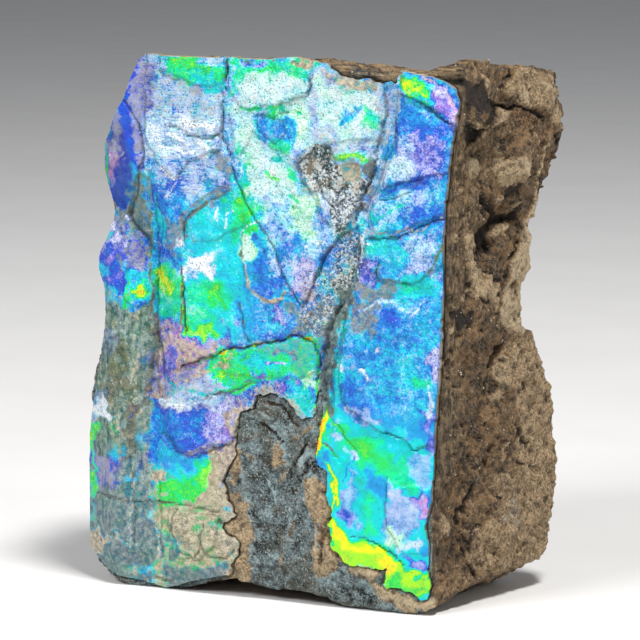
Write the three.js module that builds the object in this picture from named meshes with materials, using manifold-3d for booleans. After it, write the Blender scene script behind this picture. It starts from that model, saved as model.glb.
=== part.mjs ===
// Ammolite specimen: a broken block of brown ironstone, standing on its underside, with the thin
// iridescent shell of an ammonite still on its front. Millimetres, +Z up, the shell faces -Y, and the
// origin is the centre of the block's footprint.
import * as THREE from "three";
import { mergeVertices } from "three/addons/utils/BufferGeometryUtils.js";
import Module from "manifold-3d";

const wasm = await Module();
wasm.setup();

// ---- Driving dimensions ---------------------------------------------------------------------------

const HEIGHT = 79; // from the underside to the top of the shell
const FACE_Y = -17.4; // the plane that the shell's outer face lies near
const SHELL_THICKNESS = 0.9;
const SHELL_SEAT_GAP = 0.3; // between the shell's inner face and the stone
const LEDGE_HEIGHT = 39; // a step across the back of the right flank
const LEDGE_STEP = 0.4; // half the height over which the step happens
const FLANK_X = 26.2; // where the right flank starts at the front, about halfway up
const FLANK_TURN = 0.19; // how far the flank runs outward for each millimetre that it runs back

const LEVELS = 30; // steps up the block
const FACE_COLUMNS = 20; // steps across the front
const FACE_ROWS = 27;
const BED_CELL = 3.6; // size of a facet of the underside and the top
const FACE_ALLOWANCE = 4; // stone left on the front before it is cut back to the shell's seat
const OVERRUN = 4; // how far a cutting body runs past what it cuts

// The arrises, the upright edges where two fracture faces meet, from the underside to the top: [z, x, y].
const ARRISES = {
  leftRim: [
    [0, -30.4, -13.6],
    [3, -32.0, -13.8],
    [12, -32.4, -13.9],
    [21, -32.1, -13.9],
    [31, -29.7, -13.7],
    [38, -27.8, -13.4],
    [42, -27.4, -13.4],
    [47.5, -29.2, -12.9],
    [51, -27.9, -12.9],
    [55.5, -26.4, -12.9],
    [60, -29.0, -12.9],
    [64, -29.0, -13.2],
    [72, -24.2, -15.0],
    [HEIGHT, -21.4, -15.6],
  ],
  rightRim: [
    [0, 23.7, -17.4],
    [7, 23.9, -17.4],
    [20, 24.7, -17.4],
    [29, 25.4, -17.4],
    [42, 26.2, -17.4],
    [61, 26.3, -17.4],
    [66, 27.1, -17.4],
    [70, 27.9, -17.0],
    [73.5, 28.1, -16.8],
    [HEIGHT, 27.0, -16.4],
  ],
  flankRidge: [
    [0, 29.2, 0.6],
    [8, 30.0, 3.1],
    [18, 30.6, 5.1],
    [30, 30.2, 3.1],
    [LEDGE_HEIGHT - LEDGE_STEP, 29.6, -0.2],
    [LEDGE_HEIGHT + LEDGE_STEP, 29.0, -2.2],
    [43, 28.7, -4.6],
    [48, 29.2, -2.1],
    [54, 30.0, 2.2],
    [60, 30.9, 6.6],
    [66, 31.9, 10.1],
    [HEIGHT, 31.4, 7.8],
  ],
  backRight: [
    [0, 30.4, 4.8],
    [3, 31.0, 7.4],
    [6, 31.6, 10.3],
    [10, 31.9, 12.0],
    [16, 32.1, 13.0],
    [28, 31.8, 11.6],
    [33, 31.3, 8.8],
    [LEDGE_HEIGHT - LEDGE_STEP, 30.7, 5.6],
    [LEDGE_HEIGHT + LEDGE_STEP, 30.1, 2.7],
    [46, 30.0, 2.3],
    [48, 30.4, 4.0],
    [54.4, 30.5, 4.6],
    [57.5, 31.0, 7.3],
    [60, 31.4, 9.4],
    [64, 31.9, 12.2],
    [66.8, 32.4, 14.5],
    [70, 32.2, 13.5],
    [HEIGHT, 31.7, 11.2],
  ],
  backMiddle: [
    [0, 9.0, 14.6],
    [20, 10.0, 16.5],
    [44, 7.0, 14.2],
    [64, 10.0, 16.2],
    [HEIGHT, 9.0, 14.0],
  ],
  backLeft: [
    [0, -19.0, 13.8],
    [24, -21.0, 16.0],
    [50, -19.5, 16.5],
    [66, -21.0, 15.2],
    [HEIGHT, -17.5, 12.8],
  ],
  leftMiddle: [
    [0, -28.5, 1.1],
    [20, -32.0, 2.6],
    [45, -30.5, 0.6],
    [62, -31.6, 2.1],
    [HEIGHT, -25.0, 0.1],
  ],
};

// The sides of a horizontal section in order, each from one arris to the next, with its number of steps.
const SIDES = [
  { name: "face", from: "leftRim", to: "rightRim", steps: 4 },
  { name: "flank", from: "rightRim", to: "flankRidge", steps: 13 },
  { name: "flankEdge", from: "flankRidge", to: "backRight", steps: 4 },
  { name: "rightBack", from: "backRight", to: "backMiddle", steps: 9 },
  { name: "leftBack", from: "backMiddle", to: "backLeft", steps: 10 },
  { name: "leftSide", from: "backLeft", to: "leftMiddle", steps: 6 },
  { name: "leftSide", from: "leftMiddle", to: "leftRim", steps: 6 },
];

// The lumps, hollows, ridges and grooves of each side. A line runs through points [along, up], measured
// along the side from its first arris and up the block. Each stands out or, where that is negative, sinks
// by its rise, and dies away over its reach.
const FEATURES = {
  flank: [
    { line: [[20, 18], [21, 27]], reach: 12, rise: 1.3 }, // the rounded bulge low down
    { line: [[15, 36], [9, 24], [4, 14], [7, 6]], reach: 3.4, rise: -1.5 }, // the groove in front of it
    { line: [[17.5, 35], [17, 29]], reach: 2.8, rise: 1.0 },
    { line: [[2.5, 34], [3, 22]], reach: 3.5, rise: 0.8 },
    { line: [[16, 58], [16, 56]], reach: 3.6, rise: -2.2 }, // the two dark holes
    { line: [[10.8, 54], [10.8, 51]], reach: 3.4, rise: -1.5 },
    { line: [[7, 69], [8.5, 66]], reach: 4.2, rise: -2.0 }, // the hollow near the top
    { line: [[13.5, 74], [13.5, 72]], reach: 2.8, rise: -1.4 },
    { line: [[4, 71], [10, 70.5]], reach: 2.4, rise: 0.9 }, // the lip above that hollow
    { line: [[18, 60], [19, 66]], reach: 4.5, rise: 1.2 },
    { line: [[1.6, 59], [1.6, 53]], reach: 2.6, rise: 0.6 },
    { line: [[23, 74], [25, 66]], reach: 5, rise: 0.9 },
  ],
  flankEdge: [],
  rightBack: [
    { line: [[8, 62], [15, 58]], reach: 11, rise: -1.8 },
    { line: [[6, 24], [14, 14]], reach: 9, rise: 1.2 },
    { line: [[2, 44], [20, 47]], reach: 5, rise: -1.6 },
  ],
  leftBack: [
    { line: [[4, 30], [12, 22]], reach: 11, rise: 1.6 },
    { line: [[14, 64], [22, 58]], reach: 10, rise: 1.1 },
    { line: [[0, 46], [28, 42]], reach: 5, rise: -1.7 },
    { line: [[20, 12], [28, 20]], reach: 8, rise: -1.3 },
  ],
  leftSide: [
    { line: [[9, 62], [9, 54]], reach: 8, rise: -1.4 },
    { line: [[12, 34], [12, 26]], reach: 9, rise: 1.3 },
    { line: [[0, 46], [16, 42]], reach: 4, rise: -1.2 },
  ],
};

// The edge of the shell, seen from the front, as [x, z]. It ends above what the block stands on.
const SHELL_OUTLINE = [
  [-31.0, 3.4], [-28.0, 1.9], [-24.0, 1.2], [-18.0, 0.9], [-14.4, 1.9], [-8.0, 4.2], [6.0, 3.4], [14.0, 1.8],
  [23.2, 2.6], [23.5, 7], [24.3, 20], [25.0, 29], [25.8, 42], [25.9, 61], [26.7, 66], [27.5, 70],
  [27.7, 73.5], [26.5, 75.7], [23.8, 76.9], [18.8, 77.6], [11.0, 78.3], [3.0, 79.0], [-7.0, 78.7],
  [-20.6, 78.8], [-21.6, 78.2], [-24.6, 72], [-29.4, 65.5], [-29.6, 62], [-29.0, 59.5], [-26.6, 55.5],
  [-28.2, 51], [-29.6, 47.5], [-27.7, 42], [-28.1, 38], [-30.0, 31], [-32.2, 22], [-32.6, 12], [-32.4, 5],
];

// Where the shell has flaked off and the stone shows, as [x, z].
const BARE_PATCHES = [
  // low down, from the underside up to the foot of the fissure
  [
    [-9.4, -2], [-8.2, 1.8], [-9.6, 8.4], [-8.5, 14.4], [-9.6, 17.3], [-6.3, 22.2], [-5.0, 27.3],
    [-2.7, 29.9], [1.6, 30.4], [5.7, 27.6], [8.2, 29.0], [7.2, 25.0], [6.0, 21.1], [8.6, 19.5],
    [8.9, 16.7], [10.3, 15.0], [8.9, 12.4], [10.2, 7.4], [14.7, 6.1], [17.6, 3.8], [22.4, 3.2], [23.6, -2],
  ],
  // the scar beside the fissure
  [
    [3.7, 64.4], [7.6, 67.7], [9.0, 64.9], [13.4, 64.0], [13.8, 62.3], [12.3, 59.4], [11.2, 55.1],
    [7.0, 56.6], [6.7, 59.1], [4.6, 61.2],
  ],
  // at the top edge, where the fissure comes out
  [
    [6.5, 80], [11.2, 78.3], [13.5, 75.8], [15.8, 75.9], [17.8, 74.2], [19.0, 74.6], [19.3, 80],
  ],
];

// The cracks that part the shell, each a line through points [x, z] with its width at its wide end, which
// is its first point. They stop short of one another, so that the shell holds together.
const CRACKS = [
  { width: 1.2, line: [[18.2, 75.5], [17.6, 70], [15.4, 65.6]] }, // the main fissure, in three parts
  { width: 1.4, line: [[11.4, 56], [12.0, 51], [10.4, 44.6]] },
  { width: 1.5, line: [[7.8, 28], [9.0, 34], [9.8, 39]] },
  { width: 0.8, line: [[-7.4, 80], [-7.9, 70], [-5.6, 61], [-2.0, 54.4], [1.7, 47]] },
  { width: 0.7, line: [[5.2, 38.7], [-1, 37.8], [-9.5, 36.2], [-15.2, 33.8]] },
  { width: 0.6, line: [[14.6, 53.9], [20.9, 55.4], [24.8, 57.3]] },
  { width: 0.6, line: [[20.6, 73.6], [23.8, 72.6], [26.2, 70.7]] },
  { width: 0.6, line: [[-14.8, 49.2], [-14.7, 38.6]] },
];

// ---- Small helpers --------------------------------------------------------------------------------

// Where an arris is at a height.
function arrisAt(points, z) {
  const above = points.findIndex((p) => p[0] >= z);
  const next = above < 0 ? points.length - 1 : Math.max(1, above);
  const [z0, x0, y0] = points[next - 1];
  const [z1, x1, y1] = points[next];
  const t = THREE.MathUtils.clamp((z - z0) / (z1 - z0), 0, 1);
  return new THREE.Vector2(x0 + (x1 - x0) * t, y0 + (y1 - y0) * t);
}

// A smooth hill of height 1 at distance 0 that has died away by distance 1.
const hill = (distance) => Math.exp(-3 * distance * distance);

// A value that goes from 0 to 1 as x goes from low to high, or from high to low where low is the larger.
function ramp(x, low, high) {
  const t = THREE.MathUtils.clamp((x - low) / (high - low), 0, 1);
  return t * t * (3 - 2 * t);
}

// How far a point is from a line through points, all as [across, up].
function distanceToLine(across, up, line) {
  let nearest = Infinity;
  for (let i = 0; i + 1 < line.length; i++) {
    const [a0, u0] = line[i];
    const [da, du] = [line[i + 1][0] - a0, line[i + 1][1] - u0];
    const t = THREE.MathUtils.clamp(((across - a0) * da + (up - u0) * du) / (da * da + du * du), 0, 1);
    nearest = Math.min(nearest, Math.hypot(across - a0 - t * da, up - u0 - t * du));
  }
  return nearest;
}

// A repeatable value between -1 and 1 for each point of a lattice.
function latticeValue(i, j, k) {
  let h = Math.imul(i, 374761393) ^ Math.imul(j, 668265263) ^ Math.imul(k, 1442695041);
  h = Math.imul(h ^ (h >>> 13), 1274126177);
  return ((h ^ (h >>> 16)) >>> 0) / 2147483648 - 1;
}

// Broken-stone roughness between -1 and 1, with lumps of a given size.
function rubble(x, y, z, size) {
  const place = [x / size, y / size, z / size];
  const cell = place.map(Math.floor);
  let sum = 0;
  for (let corner = 0; corner < 8; corner++) {
    const step = [corner & 1, (corner >> 1) & 1, corner >> 2];
    const weights = step.map((s, axis) => {
      const t = place[axis] - cell[axis];
      return s ? t : 1 - t;
    });
    const value = latticeValue(cell[0] + step[0], cell[1] + step[1], cell[2] + step[2]);
    sum += weights[0] * weights[1] * weights[2] * value;
  }
  return sum;
}

// ---- The front face -------------------------------------------------------------------------------

// The valley behind the left column and the main fissure, each as its place across the face at a height.
const valleyX = (z) => -20.6 + 1.2 * Math.sin(0.09 * (z - 20));
const fissureX = (z) => 4.6 + 0.25 * (z - 20);

// How far the front stands forward of FACE_Y at a place on it.
function faceRelief(x, z) {
  const facetEdge = -22.2 - 0.28 * Math.max(0, z - 60);
  const leftFacet = -0.52 * Math.max(0, facetEdge - x) * ramp(z, 50, 58);
  const leftRoll = -0.032 * Math.max(0, -22.5 - x) ** 2 * ramp(z, 58, 50);
  const valley = -1.9 * hill((x - valleyX(z)) / 4.4) * ramp(z, 62, 54) * ramp(z, 4, 34);
  const leftColumn = 0.9 * hill((x + 26.5) / 4) * ramp(z, 52, 42);
  const fissure = -0.9 * hill((x - fissureX(z)) / 3.4) * ramp(z, 16, 26);
  const rightFall = -0.9 * ramp(x, 15, 28) - 1.3 * ramp(x, 20, 28) * ramp(z, 68, 77);
  const footCurl = -0.7 * ramp(z, 6, 0);
  const crown = 0.7 * Math.cos((x - 2) / 22) * Math.cos((z - 40) / 36);
  const ripple = 0.22 * rubble(x, 0, z, 6) + 0.12 * rubble(x, 9, z, 3);
  const left = leftFacet + leftRoll + valley + leftColumn;
  return left + fissure + rightFall + footCurl + crown - 0.5 + ripple;
}

// ---- Solids ---------------------------------------------------------------------------------------

// A closed manifold-3d solid from a list of points and their triangles.
function solidOf(points, triangles) {
  return new wasm.Manifold(
    new wasm.Mesh({
      numProp: 3,
      vertProperties: new Float32Array(points.flatMap((p) => [p.x, p.y, p.z])),
      triVerts: new Uint32Array(triangles),
    }),
  );
}

// A three.js geometry from a manifold-3d solid.
function geometryOf(solid) {
  const mesh = solid.getMesh();
  const geometry = new THREE.BufferGeometry();
  geometry.setAttribute("position", new THREE.Float32BufferAttribute(mesh.vertProperties, 3));
  geometry.setIndex([...mesh.triVerts]);
  return geometry;
}

// Two triangles over four corners that run round the outside anticlockwise.
const quad = (a, b, c, d) => [a, b, c, a, c, d];

// A solid through a stack of rings that have the same number of points, flat at both ends.
function stack(rings) {
  const count = rings[0].length;
  const points = rings.flat();
  const triangles = [];
  for (let i = 0; i < count; i++) {
    const j = (i + 1) % count;
    for (let low = 0; low < (rings.length - 1) * count; low += count) {
      triangles.push(...quad(low + i, low + j, low + count + j, low + count + i));
    }
  }
  for (const [ring, start, isTop] of [
    [rings[0], 0, false],
    [rings[rings.length - 1], (rings.length - 1) * count, true],
  ]) {
    const outline = ring.map((p) => new THREE.Vector2(p.x, p.y));
    for (const [a, b, c] of THREE.ShapeUtils.triangulateShape(outline, [])) {
      triangles.push(...(isTop ? [a, b, c] : [c, b, a]).map((i) => start + i));
    }
  }
  return solidOf(points, triangles);
}

// A solid between two sheets of points over the same grid. The first sheet is the one that sees its
// columns run to the right and its rows run up.
function slab(columns, rows, firstSheet, secondSheet) {
  const points = [];
  for (const sheet of [firstSheet, secondSheet]) {
    for (const v of rows) for (const u of columns) points.push(sheet(u, v));
  }
  const width = columns.length;
  const second = width * rows.length;
  const triangles = [];
  for (let row = 0; row + 1 < rows.length; row++) {
    for (let column = 0; column + 1 < width; column++) {
      const a = row * width + column;
      const [b, c, d] = [a + 1, a + width + 1, a + width];
      triangles.push(...quad(a, b, c, d), ...quad(second + b, second + a, second + d, second + c));
    }
    const left = row * width;
    const right = left + width - 1;
    triangles.push(...quad(left, left + width, second + left + width, second + left));
    triangles.push(...quad(right + width, right, second + right, second + right + width));
  }
  for (let column = 0; column + 1 < width; column++) {
    const top = (rows.length - 1) * width + column;
    triangles.push(...quad(column + 1, column, second + column, second + column + 1));
    triangles.push(...quad(top, top + 1, second + top + 1, second + top));
  }
  return solidOf(points, triangles);
}

// Evenly spaced values from one number to another.
function spaced(from, to, steps) {
  return Array.from({ length: steps + 1 }, (_, i) => from + ((to - from) * i) / steps);
}

// ---- The stone ------------------------------------------------------------------------------------

// The underside: flat where the block stands, raised along its broken edges.
function undersideAt(x, y) {
  const leftCorner = 0.45 * Math.max(0, -25 - x);
  const archRise = 2.9 * hill((x + 7.5) / 10) + 1.9 * hill((x - 4) / 9);
  const frontArch = archRise * ramp(y, -2, -14);
  const fromFlank = FLANK_X + FLANK_TURN * (y - FACE_Y) - x;
  const rightEdge = 0.56 * Math.max(0, 4.8 + 3.2 * ramp(y, -14, -5) - fromFlank);
  const backEdge = 1.8 * ramp(y, 11, 16);
  return Math.max(0, leftCorner + frontArch + rightEdge + backEdge - 0.3);
}

// The top fracture, which falls to the back and at its front right corner.
function topAt(x, y) {
  const back = -0.14 * (y - FACE_Y);
  const saddle = -1.3 * hill((x - 18) / 8) * ramp(y, 0, -12);
  const frontRight = -2.6 * ramp(x, 19, 28) * ramp(y, -11, -17);
  const right = 1.3 * ramp(x, 21, 27) * ramp(y, -16, -9);
  const roughness = (0.5 * rubble(x, y, 0, 7) + 0.4 * rubble(x, y, 5, 3.4)) * ramp(y, -17, -13);
  return HEIGHT + back + saddle + frontRight + right + roughness;
}

// How far a place on a side stands out from the straight line between its arrises.
function sideRelief(side, along, share, point, z) {
  if (side.name === "face") return FACE_ALLOWANCE;
  let relief = 1.0 * rubble(point.x, point.y, z, 7) + 0.6 * rubble(point.x, point.y, z, 3.3);
  for (const feature of FEATURES[side.name]) {
    relief += feature.rise * hill(distanceToLine(along, z, feature.line) / feature.reach);
  }
  const steadyArris = Math.min(1, 0.15 + 5 * Math.min(share, 1 - share));
  return relief * steadyArris;
}

// One horizontal section of the block.
function sectionAt(z) {
  const points = [];
  for (const side of SIDES) {
    const from = arrisAt(ARRISES[side.from], z);
    const to = arrisAt(ARRISES[side.to], z);
    const outward = new THREE.Vector2(to.y - from.y, from.x - to.x).normalize();
    for (let i = 0; i < side.steps; i++) {
      const share = i / side.steps;
      const p = from.clone().lerp(to, share);
      const relief = sideRelief(side, share * from.distanceTo(to), share, p, z);
      p.addScaledVector(outward, relief);
      points.push(new THREE.Vector3(p.x, p.y, z));
    }
  }
  return points;
}

// The block: its sides, cut off by the underside and the top, with its front cut back to seat the shell.
function stoneGeometry() {
  const even = spaced(-OVERRUN, HEIGHT + OVERRUN, LEVELS);
  const ledge = [LEDGE_HEIGHT - LEDGE_STEP, LEDGE_HEIGHT + LEDGE_STEP];
  const clearOfLedge = even.filter((z) => Math.abs(z - LEDGE_HEIGHT) > 3 * LEDGE_STEP);
  const heights = [...clearOfLedge, ...ledge].sort((a, b) => a - b);
  const sides = stack(heights.map(sectionAt));
  const columns = spaced(-36, 36, Math.round(72 / BED_CELL));
  const rows = spaced(-25, 20, Math.round(45 / BED_CELL));
  const bed = slab(
    columns,
    rows,
    (x, y) => new THREE.Vector3(x, y, topAt(x, y)),
    (x, y) => new THREE.Vector3(x, y, undersideAt(x, y)),
  );
  const seat = faceSlab(-3 * OVERRUN, SHELL_THICKNESS + SHELL_SEAT_GAP);
  return geometryOf(sides.intersect(bed).subtract(seat));
}

// ---- The shell ------------------------------------------------------------------------------------

// A slab that follows the front face between two depths behind it, and is larger than the face all round.
function faceSlab(outerDepth, innerDepth) {
  const columns = spaced(-37, 35, FACE_COLUMNS + 4);
  const rows = spaced(-OVERRUN, HEIGHT + OVERRUN, FACE_ROWS);
  const sheet = (depth) => (x, z) => new THREE.Vector3(x, FACE_Y - faceRelief(x, z) + depth, z);
  return slab(columns, rows, sheet(outerDepth), sheet(innerDepth));
}

// A prism through the shell over an outline seen from the front.
function prism(outline) {
  const shape = new THREE.Shape(outline.map(([x, z]) => new THREE.Vector2(x, z)));
  const reach = 24;
  const geometry = new THREE.ExtrudeGeometry(shape, { depth: reach, bevelEnabled: false });
  geometry.deleteAttribute("normal");
  geometry.deleteAttribute("uv");
  geometry.rotateX(Math.PI / 2); // the outline's second coordinate becomes z, and the depth runs to -Y
  geometry.translate(0, FACE_Y + reach / 2, 0);
  const merged = mergeVertices(geometry, 1e-4);
  const points = [];
  for (let i = 0; i < merged.attributes.position.count; i++) {
    points.push(new THREE.Vector3().fromBufferAttribute(merged.attributes.position, i));
  }
  return solidOf(points, merged.index.array);
}

// The outline of a crack that narrows to a point along its line.
function crackOutline({ line, width }) {
  const left = [];
  const right = [];
  line.forEach(([x, z], i) => {
    const [x0, z0] = line[Math.max(0, i - 1)];
    const [x1, z1] = line[Math.min(line.length - 1, i + 1)];
    const across = new THREE.Vector2(z0 - z1, x1 - x0).normalize();
    const half = (width / 2) * (1 - (0.85 * i) / (line.length - 1));
    left.push([x + across.x * half, z + across.y * half]);
    right.unshift([x - across.x * half, z - across.y * half]);
  });
  return [...left, ...right];
}

// The shell: the slab trimmed to its outline, less the bare patches and the cracks.
function shellGeometry() {
  let shell = faceSlab(0, SHELL_THICKNESS).intersect(prism(SHELL_OUTLINE));
  for (const outline of [...BARE_PATCHES, ...CRACKS.map(crackOutline)]) {
    shell = shell.subtract(prism(outline));
  }
  return geometryOf(shell);
}

// ---- The specimen ---------------------------------------------------------------------------------

function namedMesh(name, geometry, material) {
  const mesh = new THREE.Mesh(geometry, material);
  mesh.name = name;
  return mesh;
}

const stoneMaterial = new THREE.MeshStandardMaterial({ color: 0x6b5a45, roughness: 0.92, metalness: 0 });
const shellMaterial = new THREE.MeshStandardMaterial({ color: 0x2f9fd8, roughness: 0.32, metalness: 0.25 });

const specimen = new THREE.Group();
specimen.add(namedMesh("stone_matrix", stoneGeometry(), stoneMaterial));
specimen.add(namedMesh("ammolite_shell", shellGeometry(), shellMaterial));

export default specimen;
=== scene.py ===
"""Dresses the ammolite specimen: the broken ironstone block, its loose grains, the iridescent shell on its
front, and a plain stage. The frame's solids give every piece its place and size."""

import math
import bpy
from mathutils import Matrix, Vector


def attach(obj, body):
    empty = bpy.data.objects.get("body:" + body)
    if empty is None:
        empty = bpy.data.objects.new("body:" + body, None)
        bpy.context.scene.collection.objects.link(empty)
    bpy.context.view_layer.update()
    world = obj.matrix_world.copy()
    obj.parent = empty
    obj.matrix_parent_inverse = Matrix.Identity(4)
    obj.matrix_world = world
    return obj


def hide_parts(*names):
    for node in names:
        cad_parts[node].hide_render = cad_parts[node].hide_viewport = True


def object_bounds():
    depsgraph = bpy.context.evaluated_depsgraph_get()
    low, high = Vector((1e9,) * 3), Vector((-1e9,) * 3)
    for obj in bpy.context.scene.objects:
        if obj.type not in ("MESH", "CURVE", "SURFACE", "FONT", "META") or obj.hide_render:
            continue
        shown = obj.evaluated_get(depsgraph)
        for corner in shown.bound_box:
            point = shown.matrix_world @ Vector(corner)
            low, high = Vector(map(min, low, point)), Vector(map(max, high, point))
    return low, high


bl_info = {
    "name": "Ammolite Specimen",
    "version": (1, 0, 0),
    "blender": (4, 5, 0),
    "location": "View3D > Sidebar > Specimen",
    "description": "Models and finishes a standing block of ironstone with an iridescent shell face",
    "category": "Add Mesh",
}

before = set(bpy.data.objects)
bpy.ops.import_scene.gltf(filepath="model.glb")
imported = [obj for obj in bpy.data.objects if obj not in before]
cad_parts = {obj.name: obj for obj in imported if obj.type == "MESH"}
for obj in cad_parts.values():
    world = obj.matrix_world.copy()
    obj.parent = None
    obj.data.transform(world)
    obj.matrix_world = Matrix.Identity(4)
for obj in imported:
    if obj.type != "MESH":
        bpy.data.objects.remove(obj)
CAD_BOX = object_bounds()

import bmesh
import bpy
import numpy as np
from mathutils import Vector, geometry

# ---- Sizes, in millimetres unless a name says otherwise ---------------------------------------------

MM = 0.001
FACE_Y = -17.4  # the plane that the shell's outer face lies near
TOP_Z = CAD_BOX[1].z / MM
FACE_LEFT, FACE_RIGHT = -33.6, 28.6  # the strip of the front that the shell may cover
STONE_SEAT = 1.2  # from the shell's outer face back to the stone behind it
BARE_RISE = 1.05  # how far the stone stands forward where the shell has flaked off
FLANK_CORNER = (26.2, -17.4)  # where the right flank starts at the front
FLANK_DIRECTION = (0.191, 0.982)  # along the flank, from the front to the back
SIGHT_SHEAR = (0.466, 0.165)  # how far a mark slides, across and up, for each mm that the face bends back
BOX_ALLOWANCE = 0.7  # how far broken stone may stand outside the solid's box
PLAIN_FRONT = 24.2  # right of this the front is plain stone, beyond the shell
FLANK_LEFT = 21  # all of the right flank lies right of this
FLANK_TURN = 0.15  # the stone counts as the flank where its face is turned to the right by more than this
RIM_SEAT, BACK_SEAT = STONE_SEAT + 0.1, STONE_SEAT + 0.25  # how far back the rim and the sheet behind it go
RIM_BEND = ([-33, -28, -24, -20], [3.4, 2.4, 0.8, 0.2])  # how far the shell's rim bends back at some x
# painted shade: how dark a groove is painted for its depth, and a flake's edge for its rise
GROOVE_SHADE, STEP_SHADE = 1.9, 1.4  # how dark a groove is for its depth, and a flake's edge for its rise
BACK_STEP = 2.2  # spacing of the points on the shell's hidden back
LEAST_ISLAND = 600  # cells in the smallest scrap of shell that is kept
CREASE = math.radians(55)  # edges of the shell that bend more than this stay sharp
FEATHER_SIZES = (2.6, 1.9, 1.4, 3.2, 1.1)  # lumps that feather the edges of the shell's colours

# ---- Tables that are written as text -----------------------------------------------------------------


def line_points(text):
    """The points of a line that is written as text."""
    return [tuple(float(number) for number in point.split(",")) for point in text.split()]


def table(text):
    """Rows of a table that is written as text: names and numbers, a colon, then the points of a line."""
    made = []
    for row in text.split(";")[:-1]:
        head, line = row.split(":")
        words = [float(word) if word[-1].isdigit() else word for word in head.split()]
        made.append((*words, line_points(line)))
    return made


# ---- The shell's outline, its bare patches and its cracks, as (x, z) on the front ---------------------

SHELL_OUTLINE = line_points("""
-31,3.4 -29,2.2 -26,1.4 -22,.9 -18.4,.2 -16.4,.6 -14.4,1.5 -8,3.2 -3,2.9 2,2.2 8,1.6 14,1.2 20,1.4
23.6,2.4 24.2,4.6 23.7,7 24,10 23.3,13 24.3,17 24.6,22 24.9,28 25.3,34 25.7,42 25.9,50 26,58 26.3,62
26.8,66 27.4,70 27.8,73.4 27.1,75.2 25.7,76.3 23.6,77 19.6,77.8 16,78.1 11,79 8,78.5 3,79.2 -2,78.7
-7,78.9 -14,78.8 -20.6,79 -21.8,78.2 -23.2,75.4 -24.6,72 -27.4,68.2 -29.2,65.4 -29.8,62 -29,59.5
-27.8,57 -27,55.5 -28,51.6 -29.4,49.4 -29.6,47.2 -28.2,44.4 -27.8,42 -28.2,38 -29.4,33.5 -30.4,30
-31.4,26 -32.2,22 -32.5,17 -32.6,12 -32.4,7 -32.2,4.8
""")
BARE_PATCHES = [
    # low down, from the underside up to the foot of the fissure
    line_points("""
-8.6,-2 -7.4,3 -6.6,5.6 -5.9,8 -7.2,9.6 -8.7,10.6 -6.4,12.6 -7.2,14.6 -8.6,17.3 -6.4,21.4 -6,24
-5.4,27.4 -3.2,28.4 -2.4,30.5 .8,30.8 2.6,29.8 4.4,27.8 6,27.4 7.6,29.4 7,26.4 6.2,24 6,21.4
8.2,20.2 8.5,17.6 8.4,15.4 9.4,14.2 8.4,12.4 9,10 9.8,8.2 11.2,7 14.6,6.4 17.4,6.2 17.2,4 19.6,3.1
22,2.8 23.4,1.4 23.6,-2
    """),
    # the foot of the fissure
    line_points("7,31.4 6.8,29 6,26.6 7.4,26.6 7.8,28.6 7.6,31.2"),
    # at the top edge, where the fissure comes out
    line_points("7.4,80.4 8.6,78.1 10.6,76.9 13,76.3 15.6,76.1 17,75.9 18.8,76 19.2,77.2 19.8,80.4"),
]

# Cracks that open right through the shell: the width at the first point, and the line, which narrows.
OPEN_CRACKS = table(".35: -7.3,80.2 -7.3,76.5 -7.9,75 -8,72;")

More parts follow.
